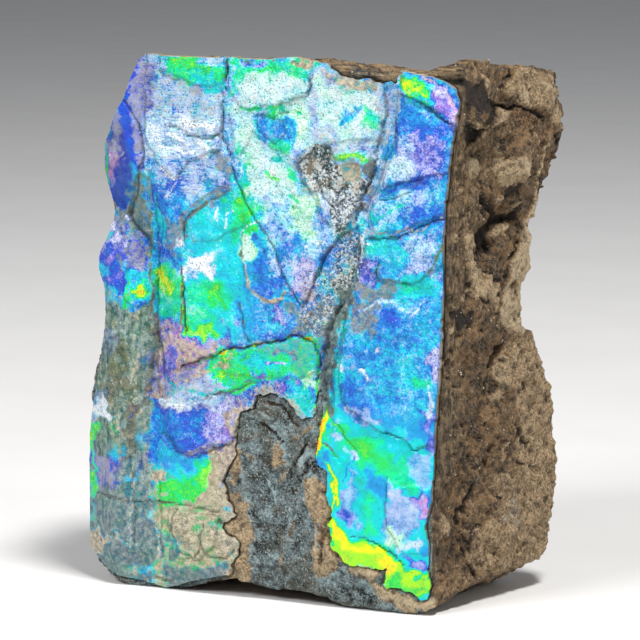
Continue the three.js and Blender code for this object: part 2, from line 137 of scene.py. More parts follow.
# Grooves pressed into the shell: width, depth, line.
GROOVES = table("""
.5 .3: 18.3,71 18.7,69.2 17.8,66.6 16.4,63.8 15.6,61.2 13.8,57.2;
.4 .35: 16.8,74.6 16.8,71.2 16.2,68.4 15.3,65.6 14.9,62.4 14.2,60.2 12.6,57.4;
.3 .2: 16.4,70 17.4,67.4 16.6,64.8 15.6,62.8;
.4 .3: 3.6,64.4 5.4,65.4 6.6,66.6 8.2,67.4 9.2,65.4 13.2,63.9;
.4 .3: 3.7,64 4.2,62 6.8,58.6 7.2,56.6 8.6,55.4;
.5 .35: 7.4,64.4 8.8,62.6 8.2,61 9.8,60.2 11.2,61.6;
.5 .35: 6.2,62.4 7,61.2 7.6,59.4 9.2,58.2 10.8,58.6;
.4 .36: -8,72.4 -8,68 -7,64 -4,58 -1.8,54.3 0,52 1.5,48.3 4.4,43.2;
.5 .45: -15,34 -8.5,36.2 .5,38.3 3.2,39.3;
.4 .4: 3.2,39.3 5,39 7,38.4 7.4,36 6.8,33;
.4 .3: 13.6,58.6 12.6,56 13.2,53 12.9,50 12.2,47 9.9,40 8,29;
.35 .26: 12,48.6 10.6,45 9.2,42.6 8.2,39 7.3,30;
.45 .32: -14.3,52.4 -14.4,54.8 -13.2,56.2 -12,56.7 -7.2,59.5;
.4 .28: -16.2,12.4 -16.6,9 -15.6,5.9 -13,5.2 -11.9,6.6 -12,9;
.4 .28: -11.6,10.8 -11.9,7.6 -10.8,5.8 -8,5.6 -6.6,7.2;
.3 .36: 12.4,10.8 13.6,10.9 16.2,10.3 17.4,9.6 20.2,7.2;
.3 .25: 8.9,27.6 11,25.8 12.9,23.5;
.3 .22: 7.3,24.2 8.4,23.8 10.3,22.2;
.4 .45: -14.7,48.4 -14.8,45.5 -14.4,38.8;
.6 .35: -24.1,72.2 -22,69 -21.5,67.4 -21.4,63 -21.9,60 -23.2,57.6 -24,55.6 -20.6,50.2;
.5 .3: -19.8,60 -20.2,54 -19.8,49 -20,44 -19.6,39 -18.9,34 -18.8,30;
.4 .3: -19.2,58.2 -18.5,54.4 -18.8,52.6 -19.6,50 -19.4,46.6;
.5 .3: -14.2,67.8 -9.5,67.2 -8.6,67.7 -8,67;
.4 .24: -17.3,69 -15.5,68.7 -13.9,68.1;
.5 .3: 1.2,72.6 3,73.5 5,74 5.9,75.2 5.5,76.5;
.4 .24: -2.6,70.6 0,70.2 1.2,71 2.4,71.4;
.5 .3: -5.3,43.6 -5,41 -4.6,39.5 -3.8,38;
.6 .34: 4.6,43.6 7.4,48.8 8.7,52 10.2,54.2 11.8,55;
.5 .34: 16.6,51 16,49.4 16.4,48.2 20.6,47.4;
.5 .28: -19,23.5 -17,22.5 -15.2,20.7 -12.2,20.4 -9.8,21.9 -7.2,22.8;
.4 .26: -11.2,28.9 -10,30 -5,31.3 -2,32.6;
.4 .24: -30.6,13.2 -24,12.8 -16,13.1 -9,12.8;
.5 .24: -23.6,19.5 -23.3,12 -23.6,6;
.4 .22: -18.9,16 -18.7,10 -18.9,4.4;
.35 .26: 17.4,19.6 17.5,14.4 17.8,12.5 18.7,11;
.4 .28: 10.5,33.6 10.4,31.4 11.6,29.2 14.6,27.8 17.6,26.1 20.2,25.9 21.4,24.3 23.6,25;
.35 .26: -2.8,70.4 -1.3,70.9 1.9,70 1.9,67.8 .4,67 -1.1,67.7 -2.4,69 -2.8,70.3;
.35 .28: 15.9,60.3 17.2,61.3 22,62.8 22.7,63.3;
.35 .28: 16.2,59.3 18.1,59.7 20.1,60.6 22,61.8 22.6,63;
.4 .4: 14.6,54 16.6,53.9 18.5,54.2 20.7,55 22.6,56.1 26.2,57.7;
.4 .4: 19.5,74.6 21.3,73.9 23.8,72.6 27.5,70;
.3 .3: 14.7,63 14.5,61.3 12.6,57.7 11.7,55.2;
.8 .4: 12.7,52.8 12.7,50.4;
.6 .35: 12.2,49.4 12.6,48.4;
.5 .35: 12.5,49.2 12.6,48.6;
.5 .3: 9.7,44.8 9.9,44.6;
.3 .28: 11,41.1 9.4,34.4 8.7,28.8;
.25 .2: 9.1,38.2 8.7,34.8 8.1,31.9 7.9,28.7;
""")

# Flakes that stand proud of the shell round them: rise, corners.
FLAKES = table("""
.33: -20.6,79.6 -20.8,66.6 -18.8,63.4 -15.6,61.2 -13.4,64 -8.4,65.6 -7.6,79.6;
.24: -18.4,79.6 -18.2,76.8 -12.4,74.9 -8.2,74.7 -7.6,79.6;
.33: -7.4,79.6 -7,74.2 -5.2,71.8 -1.4,71.8 1.2,72.4 5,74 6,75.4 6.2,79.6;
.27: -6.9,71 .2,70.1 2.4,71.2 7,69.2 15.6,73.8 16.8,68.2 9.2,67.4 3.6,64.6 -1.5,67.1 -3.2,68.4
    -5.6,64.4;
.3: -14.2,55.2 -12.2,56.8 -6.8,59.9 -4.4,56.2 -5,50.2 -4,46 -.8,43.8 1.4,44.2 1.2,46.6 -3.6,55.2 -8.4,53
    -12.6,52.2;
.36: 19.4,77.6 19.2,74.4 22.2,73.6 25.2,72.2 27.6,69.4 28.4,74.8 24,77.6;
.3: 18.4,71.6 16.6,66.8 15.4,62.8 18,61.2 22.2,63.2 27,63.8 28,69.6 24.4,72.2 20.2,73.4;
.3: 16,54.6 20.4,55.6 27,58.6 27,61.2 22.2,62.4 16.4,59.8 14.6,57;
.36: 10.6,41.6 10.4,33 10.6,30.6 13.2,28.4 16.2,26.6 19.8,26 21.6,24.4 26,25.2 26.6,46 20.8,45.2
    16.2,44.2 14,41;
.33: 14.2,54.2 16,53.2 22,54.8 26.8,56.6 26.6,50.8 20.8,47.4 16.2,47.9 14.4,50.4;
.28: 17.4,19.7 19.7,18.8 24.5,19.2 24.5,9.2 20.4,8.6 19.2,9.2 17.8,12.5 17.4,14.7;
.3: -24.2,48.3 -24.3,43.6 -22.4,41.7 -20.3,42.6 -20.2,47 -22,48.8;
.27: -17.6,55.2 -17.2,50.2 -15.4,48.4 -14.8,52.4 -14.6,55.6;
.33: -19.2,38.4 -18.4,32.6 -15.4,33.4 -8.8,35.9 -9.6,38 -13.6,39.2;
.24: -7.8,33.4 -2.4,32.8 3.4,33.2 7,34.4 7.4,38.8 2.6,38.8 -8.2,35.8;
.27: -18.8,28.8 -17.8,23.4 -14.2,20.8 -6.6,23.4 -5.8,27.2 -9.6,29.6 -14.6,28.4;
.3: -17.4,12.2 -16.2,4.8 -12.4,5 -9.6,7.8 -9.2,12.2;
-.38: 16.9,77 16.8,71.4 16.2,68.2 15.2,65 14.8,62.2 12.2,56 13.6,55.4 14.8,57.6 18.8,67.4 19,69.2
    18.4,71.4 18.6,75 19.2,78;
-.3: 3.7,64.2 5.4,65.3 6.6,66.6 8.4,67.2 9.2,65.2 13.2,63.8 13.6,61.8 12.2,57 11.2,55.2 8.6,55.2
    7.2,56.6 7,58.4 4.2,61.8;
-.45: 4.8,44 7,48 8.6,52.2 10.2,54.4 12.8,55.4 13,52 12,47.2 9.4,42.6 6,42.4;
-.36: 12.2,48 10.6,45 8.8,42.6 7.9,38 7,30 8.4,29.4 9.8,38 11,42.4 12.2,45 13,48;
-.35: -23.4,58.6 -24.4,55.6 -21,50.8 -19.8,51.2 -19.9,61.6 -21.2,62.4;
-.3: -28.8,36 -29,30 -25.6,28.4 -24.4,34 -25.6,38;
""")

# Where the shell is crushed to a speckled grit: how much, corners.
CRUSHED = table("""
.95: 3.9,64.5 5.5,66.3 7.3,67.3 8.6,66.7 9.9,63.5 8.7,61.9 9.4,60.4 6.5,60.1 5.2,61.4 4.4,62.8;
.85: 8.9,63.5 9.9,63.5 10.9,61.9 12.7,61.8 14.3,62.5 14.4,61.3 11.3,55.3 10.4,54.5 8.9,54;
.62: 10.2,54.4 13.9,54.7 14.4,53.3 14,50.5 13,46.4 8.9,46.1 9.4,52.1;
.5: 4.2,49 12.9,49.5 12,47.5 10.7,46.5 7.2,39.4 5.7,39.4 4.1,41;
""")

# ---- The shell's colours -----------------------------------------------------------------------------

# Each finish, channel by channel: its place in the film's colours, how milky, how slaty, how crusted.
FILM, MILK, SLATY, CRUST = range(4)
GROUND = (0.42, 0.15, 0.10, 0.0)
FINISHES = {
    "pink": (0.02, 0.30, 0.05, 0.0),
    "violet": (0.13, 0.22, 0.05, 0.0),
    "lilac": (0.15, 0.52, 0.10, 0.0),
    "periwinkle": (0.20, 0.32, 0.05, 0.0),
    "royal": (0.27, 0.02, 0.05, 0.0),
    "leaf": (0.79, 0.16, 0.0, 0.0),
    "blue": (0.34, 0.10, 0.0, 0.0),
    "azure": (0.42, 0.16, 0.0, 0.0),
    "sky": (0.42, 0.38, 0.05, 0.0),
    "cyan": (0.52, 0.14, 0.0, 0.0),
    "turquoise": (0.56, 0.04, 0.0, 0.0),
    "teal": (0.58, 0.06, 0.35, 0.0),
    "aqua": (0.65, 0.15, 0.0, 0.0),
    "emerald": (0.70, 0.02, 0.10, 0.0),
    "green": (0.75, 0.02, 0.0, 0.0),
    "lime": (0.83, 0.04, 0.0, 0.0),
    "yellow": (0.91, 0.04, 0.0, 0.0),
    "orange": (0.99, 0.02, 0.0, 0.0),
    "white": (0.40, 0.92, 0.0, 0.0),
    "greenish": (0.69, 0.60, 0.05, 0.0),
    "frost": (0.42, 0.60, 0.06, 0.0),
    "mist": (0.36, 0.44, 0.08, 0.0),
    "silver": (0.40, 0.50, 0.30, 0.0),
    "ash": (0.40, 0.35, 0.55, 0.0),
    "scarred": (0.50, 0.42, 0.50, 0.20),
    "dusk": (0.18, 0.38, 0.42, 0.0),
    "pearl": (0.57, 0.62, 0.18, 0.04),
    "moss": (0.70, 0.40, 0.30, 0.62),
    "olive": (0.60, 0.06, 0.86, 0.14),
    "slate": (0.48, 0.18, 0.68, 0.0),
    "channel": (None, 0.15, 0.92, 0.12),
    "umber": (None, 0.0, 1.12, 0.12),
    "tan": (None, 0.40, 0.22, 0.70),
    "cream": (None, 0.60, 0.10, 0.85),
    "rose": (0.04, 0.40, 0.25, 0.50),
}

# Fields of colour: finish, softness of the edge, corners. Later fields lie over earlier ones.
FIELDS = [
    # the ground coats
    *table("""
sky 2: -26,80 -27,62 -20,58 -14,56 16,56 18,80;
azure 2.5: -20,62 -20,40 -14,38 10,38 14,56 8,62;
azure 2: 14,62 14,26 27,22 28,62;
olive 1.6: -34,44 -34,20 -20.2,18 -19.2,38 -20,42;
slate 2: -34,20 -34,-2 -19,-2 -19,18;
moss 2: -20,14 -20,-2 -8,-2 -6,12 -9,18;
dusk 2: -20,39 -19.6,20 -6,18 -3,30 8,34 8,39;
turquoise 1.5: 8,30 8,8 24,5 25.5,28 14,30;
    """),
    # the left rim and the facet that bends back
    *table("""
dusk .6: -21.6,79.4 -24.4,72 -22.6,69.4 -20.6,72 -20.4,79.4;
royal .4: -22.2,78 -24.4,72.6 -23.4,71.4 -22,75.4;
royal .5: -24.2,72.4 -28.2,64.6 -26.8,58 -23.6,55.4 -21.9,60 -21.6,67;
dusk .5: -25,70.4 -27.8,64.6 -26.9,60 -25.8,62 -24.6,67.6;
pink .6: -26.9,63.4 -26.7,60.8 -25.6,60.8 -25.7,64;
dusk .4: -22.9,69 -21.4,70 -21.4,62 -22.4,64;
blue .5: -21.6,69 -20.2,69.6 -20.2,63.6 -21.4,64;
    """),
    # the plate at the top left; its frost fields are painted glare of the light
    *table("""
silver .9: -21,77 -21,66 -14,64.6 -8.2,65.6 -8,75;
frost .8: -20.4,69 -20.2,64.6 -14,65.2 -9,65 -8.8,67.2 -14,67.6;
frost .7: -20.2,71.4 -19.6,69.4 -14,68.4 -8.6,68.4 -8.6,69.6;
silver .9: -20.8,79 -20.8,73 -18.4,72.6 -18.2,79;
green .4: -17.5,78.7 -11.8,78.8 -12.1,77.3 -17,76.7;
ash .5: -9.6,65.7 -7.1,66.5 -6.6,59.9 -7.2,57 -12.8,56.6 -13.3,57.9 -9.4,59.2;
dusk .5: -27.1,55.3 -23.7,55.2 -23.1,48.9 -27.6,48.6;
    """),
    # right of the first crack, along the top
    *table("""
aqua .5: -6.8,79 -6.8,74 6,76 7.2,79;
periwinkle .4: -5.3,78.4 -1.1,78.3 -1.1,77.5 -5.3,77.4;
tan .3: 4,79.4 4.2,78.3 7.4,77.8 7.8,79.2;
pearl .6: -6,75.8 5.2,76.6 6,75.9 5.2,74.1 1.4,73.4 1,72.4 -6,72;
pearl .7: -6,71.4 -3.2,71.5 -3,67.7 -1.4,66.8 -1.8,62.9 -6.1,62.8;
aqua .5: -2.6,71.6 -2.4,70.4 0,70.4 2.2,71.6;
pearl .7: 1.4,73.2 5.9,74 9.4,71.6 9.4,69.1 6.3,67.1 3.5,67 2.4,70.1 1.4,71.3;
greenish .6: 2,71.2 2,68 6.2,68 6.4,71;
azure .4: -3,70.8 3.3,69.2 3.1,67.2 -1.6,67.2 -2.8,68.3;
aqua 1: -6.6,65 -5.8,59 -3.4,56.4 4,58.6 3.6,65 0,66.8;
pearl .8: -6,65.4 -2.7,66.1 1.9,64.5 3.9,58 -.1,55.4 -4,58.8;
    """),
    # the whitish plate beside the fissure
    *table("""
silver .8: 5.6,77 6.4,68.6 9.4,65 14.8,64.4 17.2,70 17,75;
pearl .8: 6.3,76.2 16.9,75.3 16.9,69.7 13.5,67.4 9.7,67.2 6.3,72.4;
tan .5: 5.2,78.5 10.4,77.1 15.2,76.4 15.9,75.6 11,75.7 8.3,76.3 5.2,77.3;
azure .4: 10.8,72 10.8,70 13.6,70 13.4,71.9;
aqua .4: 13.8,72.4 14,69.8 16.2,69.6 16.2,72.4;
leaf .3: 8.6,65.5 11.1,65.9 14.3,65 14.3,64.1;
scarred .5: 3.4,64.4 5.4,65.6 6.6,67 8.4,67.6 9.2,65.4 13.4,63.8 13.8,61.8 12.4,56.6 11.2,54.8 8.2,55
    6.8,56.6 6.6,58.4 4,61.8;
tan .25: 10.1,63.7 11.4,64.2 13,63.9 13.2,63 12.5,61.6 10.2,62.8;
silver .3: 18.7,77.5 19.6,77.3 19.6,74 18.7,70.2 15.9,64.5 13.7,58.5 10.3,54.1 9.5,55 14.2,61.8
    16.1,67.7 17.8,71;
frost .6: 7.2,59.9 12.5,61.3 13.1,59.4 12.4,56.7 9.1,52.3 7.2,52.2;
    """),
    # the plates right of the fissure
    *table("""
leaf .35: 19.5,77.4 21.9,77.3 24.3,76.1 24.1,74.2 21.9,74 19.9,74.4;
lilac .4: 24.2,76.4 26.4,75.1 27.8,72 27.6,70 24.7,72.7 23.9,74.3;
blue .6: 18.7,74 27.3,69.9 27.3,67.2 19.1,66.9 18.3,69;
mist .8: 18.8,68 18.6,61.8 24,63.4 24.4,68;
    """),
    # the fold and the left column, halfway up
    # the dark slate in the sunken fold: painted shade of the fold
    *table("""
slate .5: -23.4,58.4 -24.6,55.6 -20.4,50 -19.8,55 -20,62 -21.4,62;
ash .5: -26.6,56 -26.6,51 -24.4,51 -24.2,55.4;
lilac .4: -26.6,54.6 -26.4,52 -25,51.6 -25,54.6;
teal .3: -27.8,51.6 -28.4,49.8 -27.3,50.4 -27,52.8;
royal .5: -26.6,51 -27.8,48.6 -27.2,45.2 -25.4,45.4 -25.2,50;
umber .4: -25.5,50.4 -25.4,45.6 -24.2,45.6 -24.2,50.4;
dusk .5: -23.2,53.4 -22.8,48 -20.2,47.8 -20,51;
royal .35: -22.8,52 -21.7,53.2 -20.7,52 -21.7,50.9;
green .25: -24.4,48 -24.3,42.6 -23.4,42.8 -23.4,47.6;
blue .3: -23.4,43.1 -23.2,41.7 -20.6,41.9 -20.8,43.1;
    """),
    # the middle, left of the second crack
    *table("""
blue .7: -19.8,60 -19.2,55.4 -14,55.8 -14,60;
ash .4: -18.1,55.4 -13.8,55.4 -14,49.3 -16.2,49.1;
blue .4: -18,51.6 -17,49 -14.6,45.2 -15.2,48.6 -16.2,50.4;
aqua .5: -18.2,43.8 -18.2,39.8 -14.6,39.8 -14.6,43.8;
white .5: -14.7,52.2 -14.7,46 -12,46.4 -12,52.2;
cyan 1: -14.4,58.4 -14.4,38 -4.8,38 -4.6,50 -7,58.6;
turquoise .3: -19.5,60.8 -16.9,52.2 -17.7,51.9 -19.7,57.5;
aqua .6: -7.4,59 -6.2,52 -2.4,52 -2.2,54 -5,59.4;
green .5: -5.6,58.4 -5.4,56.8 -3.2,53.6 -2.8,54.8 -4.4,57.8;
greenish .4: -5,55 -5,50.6 -2.4,50.4 -2,54;
white .6: -13.6,50 -13.4,47.2 -10.4,47 -10.2,49.8;
ash .4: -9,41 -9,39.8 -6.5,39.8 -6.5,41;
blue .5: -2.2,53.4 -3.4,47 -2,45.4 0,45.2 1.2,46.6;
sky .4: -1.2,51 -1,48.6 .4,48.2 .2,50.6;
    """),
    # the middle, between the second crack and the fissure
    *table("""
sky .8: -1.2,58.6 -1,54 2,49.2 6,46 10.6,54.6 6.6,58.6;
greenish .6: 2.8,60 3.4,54.4 6.2,54.2 6.4,59.2;
azure .5: .8,53.4 1,50.6 4.2,50.6 4.2,53.2;
lilac .6: 2.6,49.6 3.2,45.4 6,45.4 6.6,49.4;
azure .7: -5.2,44.2 -4.8,38.6 0,38.8 2.6,39.6 2.6,44;
periwinkle .4: .6,43.8 1,39.8 2.6,40.2 2.8,43.6;
ash .5: 2.6,43.4 2.7,40.2 8.2,39.2 10.4,44.6 8.4,46 5.2,43.8;
scarred .4: 12,52.3 14.1,52.4 13.4,48.8 6.4,25.5 5.7,25.6 8.7,40.1;
    """),
    # right of the fissure, halfway up
    *table("""
aqua .5: 14,58.4 14.2,54.8 16.2,54.8 16.4,58.4;
cyan .4: 14,54.2 14.2,52 20.4,52 20.4,54.4;
periwinkle .4: 14.2,51.2 14.2,46.4 16,46.6 16.2,50.8;
mist .7: 20.4,55.2 20.4,49.2 25.8,49.2 26,56.2;
turquoise .6: 20.4,49.6 20.4,46.2 25.8,46.2 25.8,49.4;
ash .5: 13.9,47.3 17.2,47.9 19.7,47.1 19.4,45.3 15.2,44.7;
ash .6: 12.2,45.4 12.2,38.4 16.2,38.6 16.2,45.2;
blue .5: 15.9,43.8 15.9,40.8 18.6,40.8 18.6,43.8;
    """),
    # the blue plate low on the right
    *table("""
azure .6: 10.6,41 10.6,31 13.6,28.6 17.4,26.4 25.4,26 25.8,39;
blue .5: 10.5,34.2 10.6,30.4 14.2,28.8 14.2,34;
blue .7: 12.6,31.6 12.8,29.4 16.4,28.8 16.4,31.4;
aqua .4: 21.8,34.8 21.8,33 24.7,33 24.7,34.8;
lilac .4: 24.3,39.4 24.3,34 26,34 26,39.4;
ash .5: 12.1,44.2 15.2,44.7 15.4,40.8 12.3,40;
mist .35: 11.8,29.5 12.2,27.8 15.8,26.6 16,28;
    """),
    # the lower left
    *table("""
umber .4: -19.7,40.6 -18.3,40.6 -19.9,30.2 -21.3,27.4 -23.6,19.5 -25,19.4 -22.9,26.8 -21.3,29.5
    -20.3,32.8;
ash .6: -28.4,38.6 -28.2,35.4 -26,35.4 -26,38.6;
silver .4: -30,28.4 -30.2,24.8 -28,24.8 -27.6,28.4;
green .35: -30.9,25 -31.2,18 -29.6,18 -29.4,24.8;
moss .5: -28.4,24.8 -28.4,22.8 -25,22.8 -25,24.8;
dusk .6: -29.6,19.2 -29.6,14 -25.8,14 -25.8,19.2;
green .3: -31.2,17 -31.2,13 -29.5,13 -29.5,17;
teal .3: -31,12.6 -31,9.4 -29.4,9.4 -29.4,12.6;
cream .5: -31.4,8.2 -31.2,4.2 -28,4 -28,7.8;
violet .7: -18.5,26.5 -6.2,27.4 -6.1,25.4 -7.7,22.6 -12.9,22.2 -17.1,23 -19.1,24.9;
white .35: -18.6,28.6 -18.4,27.2 -12.8,27.4 -12.8,28.6;
lilac .5: -10.4,31 -10.4,28 -5.8,27.8 -5.6,31;
rose .6: -19,38.4 -18.4,32.6 -12,33.6 -9,36 -12.6,38.6;
tan .6: -18,36.4 -17.4,33.2 -12.6,34.4 -12.8,37.6;
violet .3: -17.4,36.2 -17.2,34 -15.8,34 -15.8,36.2;
emerald .5: -8.4,36.4 -8.4,30.4 -5.4,30.8 -3,33 -3,36.6;
teal .6: 2.8,38.6 3,33.2 7,33.2 7.2,38.6;
sky .4: -.8,32.2 -.8,30.6 3.6,30.4 3.8,32.2;
periwinkle .4: 1,33.8 1,32 5.2,32 5.2,33.8;
cyan .4: 2.4,31.2 3,28.6 5.8,28 6,31;
greenish .4: 4.4,34 4.6,31.6 7.2,31.6 7.2,34;
blue .5: -19.3,22.8 -17.1,22.4 -12.4,20 -12.4,19.1 -17.7,18.4 -19.7,19;
tan .4: -7,27.6 -6.8,22 -5,22 -4.8,28;
tan .5: -10.2,22.8 -10,20.4 -6,20.4 -6,22.8;
teal .6: -19.7,18.9 -8.3,19.4 -8,17.8 -11.8,16.5 -18.3,16.7;
green .5: -18.6,16.8 -11.8,17.5 -8.4,19.3 -8.2,17.3 -11.5,13.6 -18,13.2;
rose .5: -9.9,18.7 -8,20.8 -6,21.2 -5.7,18.6 -8.3,16.8;
cream .4: -19.6,18.2 -19.4,15.4 -17.8,15.4 -17.8,18.2;
cream .5: -11.1,17.1 -8.3,17 -6,19.1 -6.2,16.4 -7.2,13.6 -11.5,13.5;
slate .5: -24,10.8 -24,3.6 -19,3.4 -18.8,10.8;
slate .4: -17.7,9.4 -17.6,4.6 -16.4,4.6 -16.3,9.4;
slate .6: -17.5,4.6 -17.5,0 -6.6,0 -5.6,4.8 -13,4;
cream .6: -15.6,12 -15.8,8.6 -14.8,6.4 -12.4,6.6 -12.6,9 -13.6,11.6;
cream .5: -11.4,10.4 -11.4,7.8 -10.2,6.2 -8,6.2 -7,7.6 -7.2,9.4 -8.8,10.4;
cream .4: -9.8,12.8 -9.6,11.6 -3.8,11.6 -3.8,12.8;
    """),
    # the lower right, below the blue plate
    *table("""
cyan .6: 8.9,29 11,29 16.2,26.5 19.6,26.2 22.4,24 24.8,24.2 24.8,19.7 20.7,20.3 17.2,21.6 8.5,27.7;
aqua .9: 12.7,24.8 24.1,21.9 22.4,19.8 22.1,17.2 19.7,19.3 17.6,19.1 16.2,21.2 13.8,23;
emerald .9: 13.4,17.6 15.2,18.1 16.2,11.7 14.1,11.5 13.1,14.3;
sky .5: 10.3,18 12.4,18.2 13.1,11.4 11.3,12.6;
periwinkle .4: 9.9,18 11,18.1 12,13.6 10.6,14.8;
mist .5: 17.4,18.6 19.7,18.9 22.4,16.6 22.4,13.4 18,13;
mist .6: 17.4,16.7 20.4,17.6 22.8,17.1 23.1,13.3 20.7,10.8 18.7,11 17.8,13.1;
frost .5: 18.3,11.3 23.8,11.4 23.8,9.2 20.7,8.6 19.4,8.8;
sky .5: 22.4,23.7 24.8,24.2 24.8,19.4 22.8,19.2 21.7,20.4;
lilac .4: 22.8,19.1 24.1,19.6 24.7,14.2 22.8,14.1;
pink .4: 22.4,17.4 24,17.6 24,14.3 22.8,14.6;
periwinkle .4: 20.1,8.6 24.2,9.1 24.2,6.8 21.1,6.5;
periwinkle .4: 23.6,30.2 23.6,23.8 25.2,23.8 25.4,30.2;
lime .35: 7.8,13.9 7.8,11.6 9.6,5.6 12.8,5.5 16.6,4.3 16.6,2 21.1,1.5 25.2,2.5 25.2,6.6 20.7,6.5
    17.1,9.5 14.8,10.5 12.3,10.6 10.8,12 10.2,13.7;
green .35: 17.6,4.7 19.7,5.2 20.8,4 23.9,5 24.5,3.4 21.1,2.6 18,3;
greenish .3: 13.6,6.4 15.9,6 16.9,5.3 16.9,4 14.5,4.4 12.8,5.5;
    """),
    # smaller patches all over, on top of the coats above
    *table("""
silver .3: 18.7,77.5 19.6,77.3 19.6,74 17.9,67.5 16.5,64.5 15.8,64.5 16.1,67.7 17.8,71;
umber .25: 14.8,66.6 15.4,66.6 15.1,61.2 12.5,55.4 12.1,54.7 11.6,54.7 14.5,61.3 15.1,65.2;
silver .5: 15.3,62.6 16.6,62.4 15.1,58.6 15,54.3 13.7,54.2 13.4,55.2 14,58.5 15.1,60.7;
channel .3: 10.8,47.9 12.9,49.5 12.9,48 9.4,34.4 8.6,28.8 6.9,28.6 8.1,36.7 8.1,38.1 7.3,39.3;
cyan .25: 12.9,45.4 9.8,31.5 9.2,31.5 11.1,40.7 12.1,44.4;
yellow .45: 8.6,13.1 10.1,13.3 12.3,10.2 14.7,9.9 16.6,9 18.7,6.8 19.2,5.3 15.9,7.5 12.7,8.1 10.6,9.1
    9.2,10.7;
tan .25: 12.9,6.5 15.4,6.1 16.8,5.3 16.9,3.7 13.3,4.9;
emerald .9: 6.4,26.9 9.6,27.5 14.1,24.9 19.6,23.4 19.7,20.2 17.2,19.4 14.5,19.8 9.6,24.9;
green .5: 8.9,25.5 11.7,25.1 17.9,22.2 16.9,21.5 11.3,23.9;
frost .35: 8.5,27 9.2,26.8 13.2,22.1 12.6,21.7 11,23.1;
sky .5: 11,19.8 12.4,19.9 12.6,15.8 12,14.1 11.3,15;
azure .6: 14.1,20.7 15.9,20.2 17.2,19.1 17.3,16.8 16.2,17 14.6,18.5;
greenish .4: 18,12.8 20,12.1 21.1,10.5 20.4,9.2 19,9.7 18,11.2;
blue .6: 16.2,58.6 24.5,62 26.1,59.1 25.8,57.3 18.8,55.8;
sky .7: 15.9,58.9 19.4,60 22,59.5 18.8,56.4 15.9,55.7;
violet .5: 20.9,77 23.8,76.5 27.2,74.3 27.3,70.8 25.1,71.9 21.9,74.7;
lime .4: 19.9,77.2 21.9,77 23.8,75.3 24.1,73.6 19.7,75.6;
blue .7: -19.7,26.4 -14.1,26.8 -11.8,25 -11.5,22.6 -14.7,20.7 -19.1,22.3;
azure .5: -19.7,22.2 -15.3,20.7 -11.2,20.5 -11.8,18.1 -18.3,19.1 -19.7,20.1;
periwinkle .4: -12.3,26.9 -8.3,26.8 -7.7,24.2 -10,22.7 -11.8,24.4;
green .4: -18.8,16.7 -14.2,16.5 -11.5,15.4 -14.2,14.4 -17.7,14.6;
leaf .35: -12.4,19.6 -9.2,19.9 -8.6,17.8 -11.2,16 -13,17.4;
cream .4: -10.3,21.4 -7.7,22.6 -7.1,20 -8.3,17.3 -10.1,17.7;
green .35: -18.4,78.1 -7.3,77.7 -7.6,76.6 -11.3,76.2 -16,76.4;
emerald .4: -17.3,76.6 -12.6,77.1 -7.3,76.3 -7.6,75.1 -12,75 -16,75.8;
turquoise .3: -13.3,76.3 -7.6,76 -8,74.5 -11.3,74.2;
dusk .6: -22.4,77.4 -19.4,77.5 -19.4,70.8 -21.5,69 -23.2,72.5;
mist .9: -18.5,63.9 -9.3,65.2 -8.7,60.4 -13.4,57.5 -16.8,57.6;
blue .4: -17.8,61.2 -15.1,61 -13.8,58.4 -16.1,57.4;
periwinkle .7: 21.6,68.5 26.3,68.2 26.5,63.2 22.9,62.8;
sky .3: 22.2,72.4 23.8,72.5 24.3,70.7 22.7,69.8;
teal .6: -3.2,37.8 2.2,38.8 5.5,38.1 5.8,33.9 .2,33.5 -2.5,35.1;
ash .5: .2,38 3.5,38.4 4.1,36.2 1.5,35.1;
frost .7: 15.9,65 19.4,65.7 21.9,64.8 22.6,63.3 20,62.3 16.9,62.5;
sky .6: 17.5,61.6 23.9,62.6 25.4,60.5 19.4,58.5;
blue .4: 15.9,61.4 24.8,63.4 22,61.1 18.1,60.4;
aqua .5: -19.2,48.6 -17.3,49 -15,46.1 -14.6,43.3 -16.4,41.5 -18.6,43;
leaf .35: -19.6,48.6 -17.9,48.4 -16.1,44.9 -16.9,43.7 -18.6,45.3;
aqua .6: -14.2,46.7 -10.1,46.6 -6.4,45.7 -6.4,41.5 -10.8,41.8 -14.2,42.7;
green .4: -11.4,45.7 -8.3,45.3 -6.7,42.6 -9.5,42.7;
aqua .5: -14.2,41.9 -10.8,41.8 -9.2,40.5 -12,40 -14,38.5;
leaf .3: -12.3,39.6 -9.8,40.5 -8.8,38.6 -10.8,37 -12.2,38.1;
rose .3: -17.4,40 -14.5,39.6 -12.7,37.6 -15.8,37.8 -18,38.5;
emerald .5: -9.6,35.1 -5.2,36.5 -.3,36.9 2.5,36.5 2.5,33.7 -1.5,32.9 -5.2,30.4 -9.6,30 -9.9,32.8;
turquoise .4: -5.2,36 -.3,36.3 1,34.2 -3.4,33.3;
violet .3: -18.3,33.7 -16.2,34.4 -15.9,32.4 -17.8,31;
tan .3: -20.7,27.8 -17.4,31.1 -10.8,33.6 -6.4,35.9 -6.4,34.9 -10.8,32.7 -15.9,31 -19.4,27.9;
umber 1.2: -28,34.4 -23.8,34.7 -23.8,27.8 -27.1,27.6;
white .3: -29,28.3 -27.9,28.1 -26.8,24.8 -28.1,24.2 -29.2,26.3;
royal .4: -26.2,50.2 -24.5,50.1 -24.3,44.4 -25.8,43.7;
violet .4: -27.8,49 -26.2,50 -26.2,44.3 -27.3,44.8;
cyan .3: -23.7,47.3 -20.5,47.4 -20.3,43.2 -23.5,42.7;
lime .25: -22.4,46.5 -20.9,46.6 -21.1,43.4 -22.2,43.5;
silver .5: -18.1,30.8 -10.8,31.9 -6.5,31.7 -6.5,29.1 -12.7,28.1 -18.1,28.3;
blue .6: -18.8,26.2 -12.7,27.5 -10.2,23.2 -18.8,22.5;
    """),
]
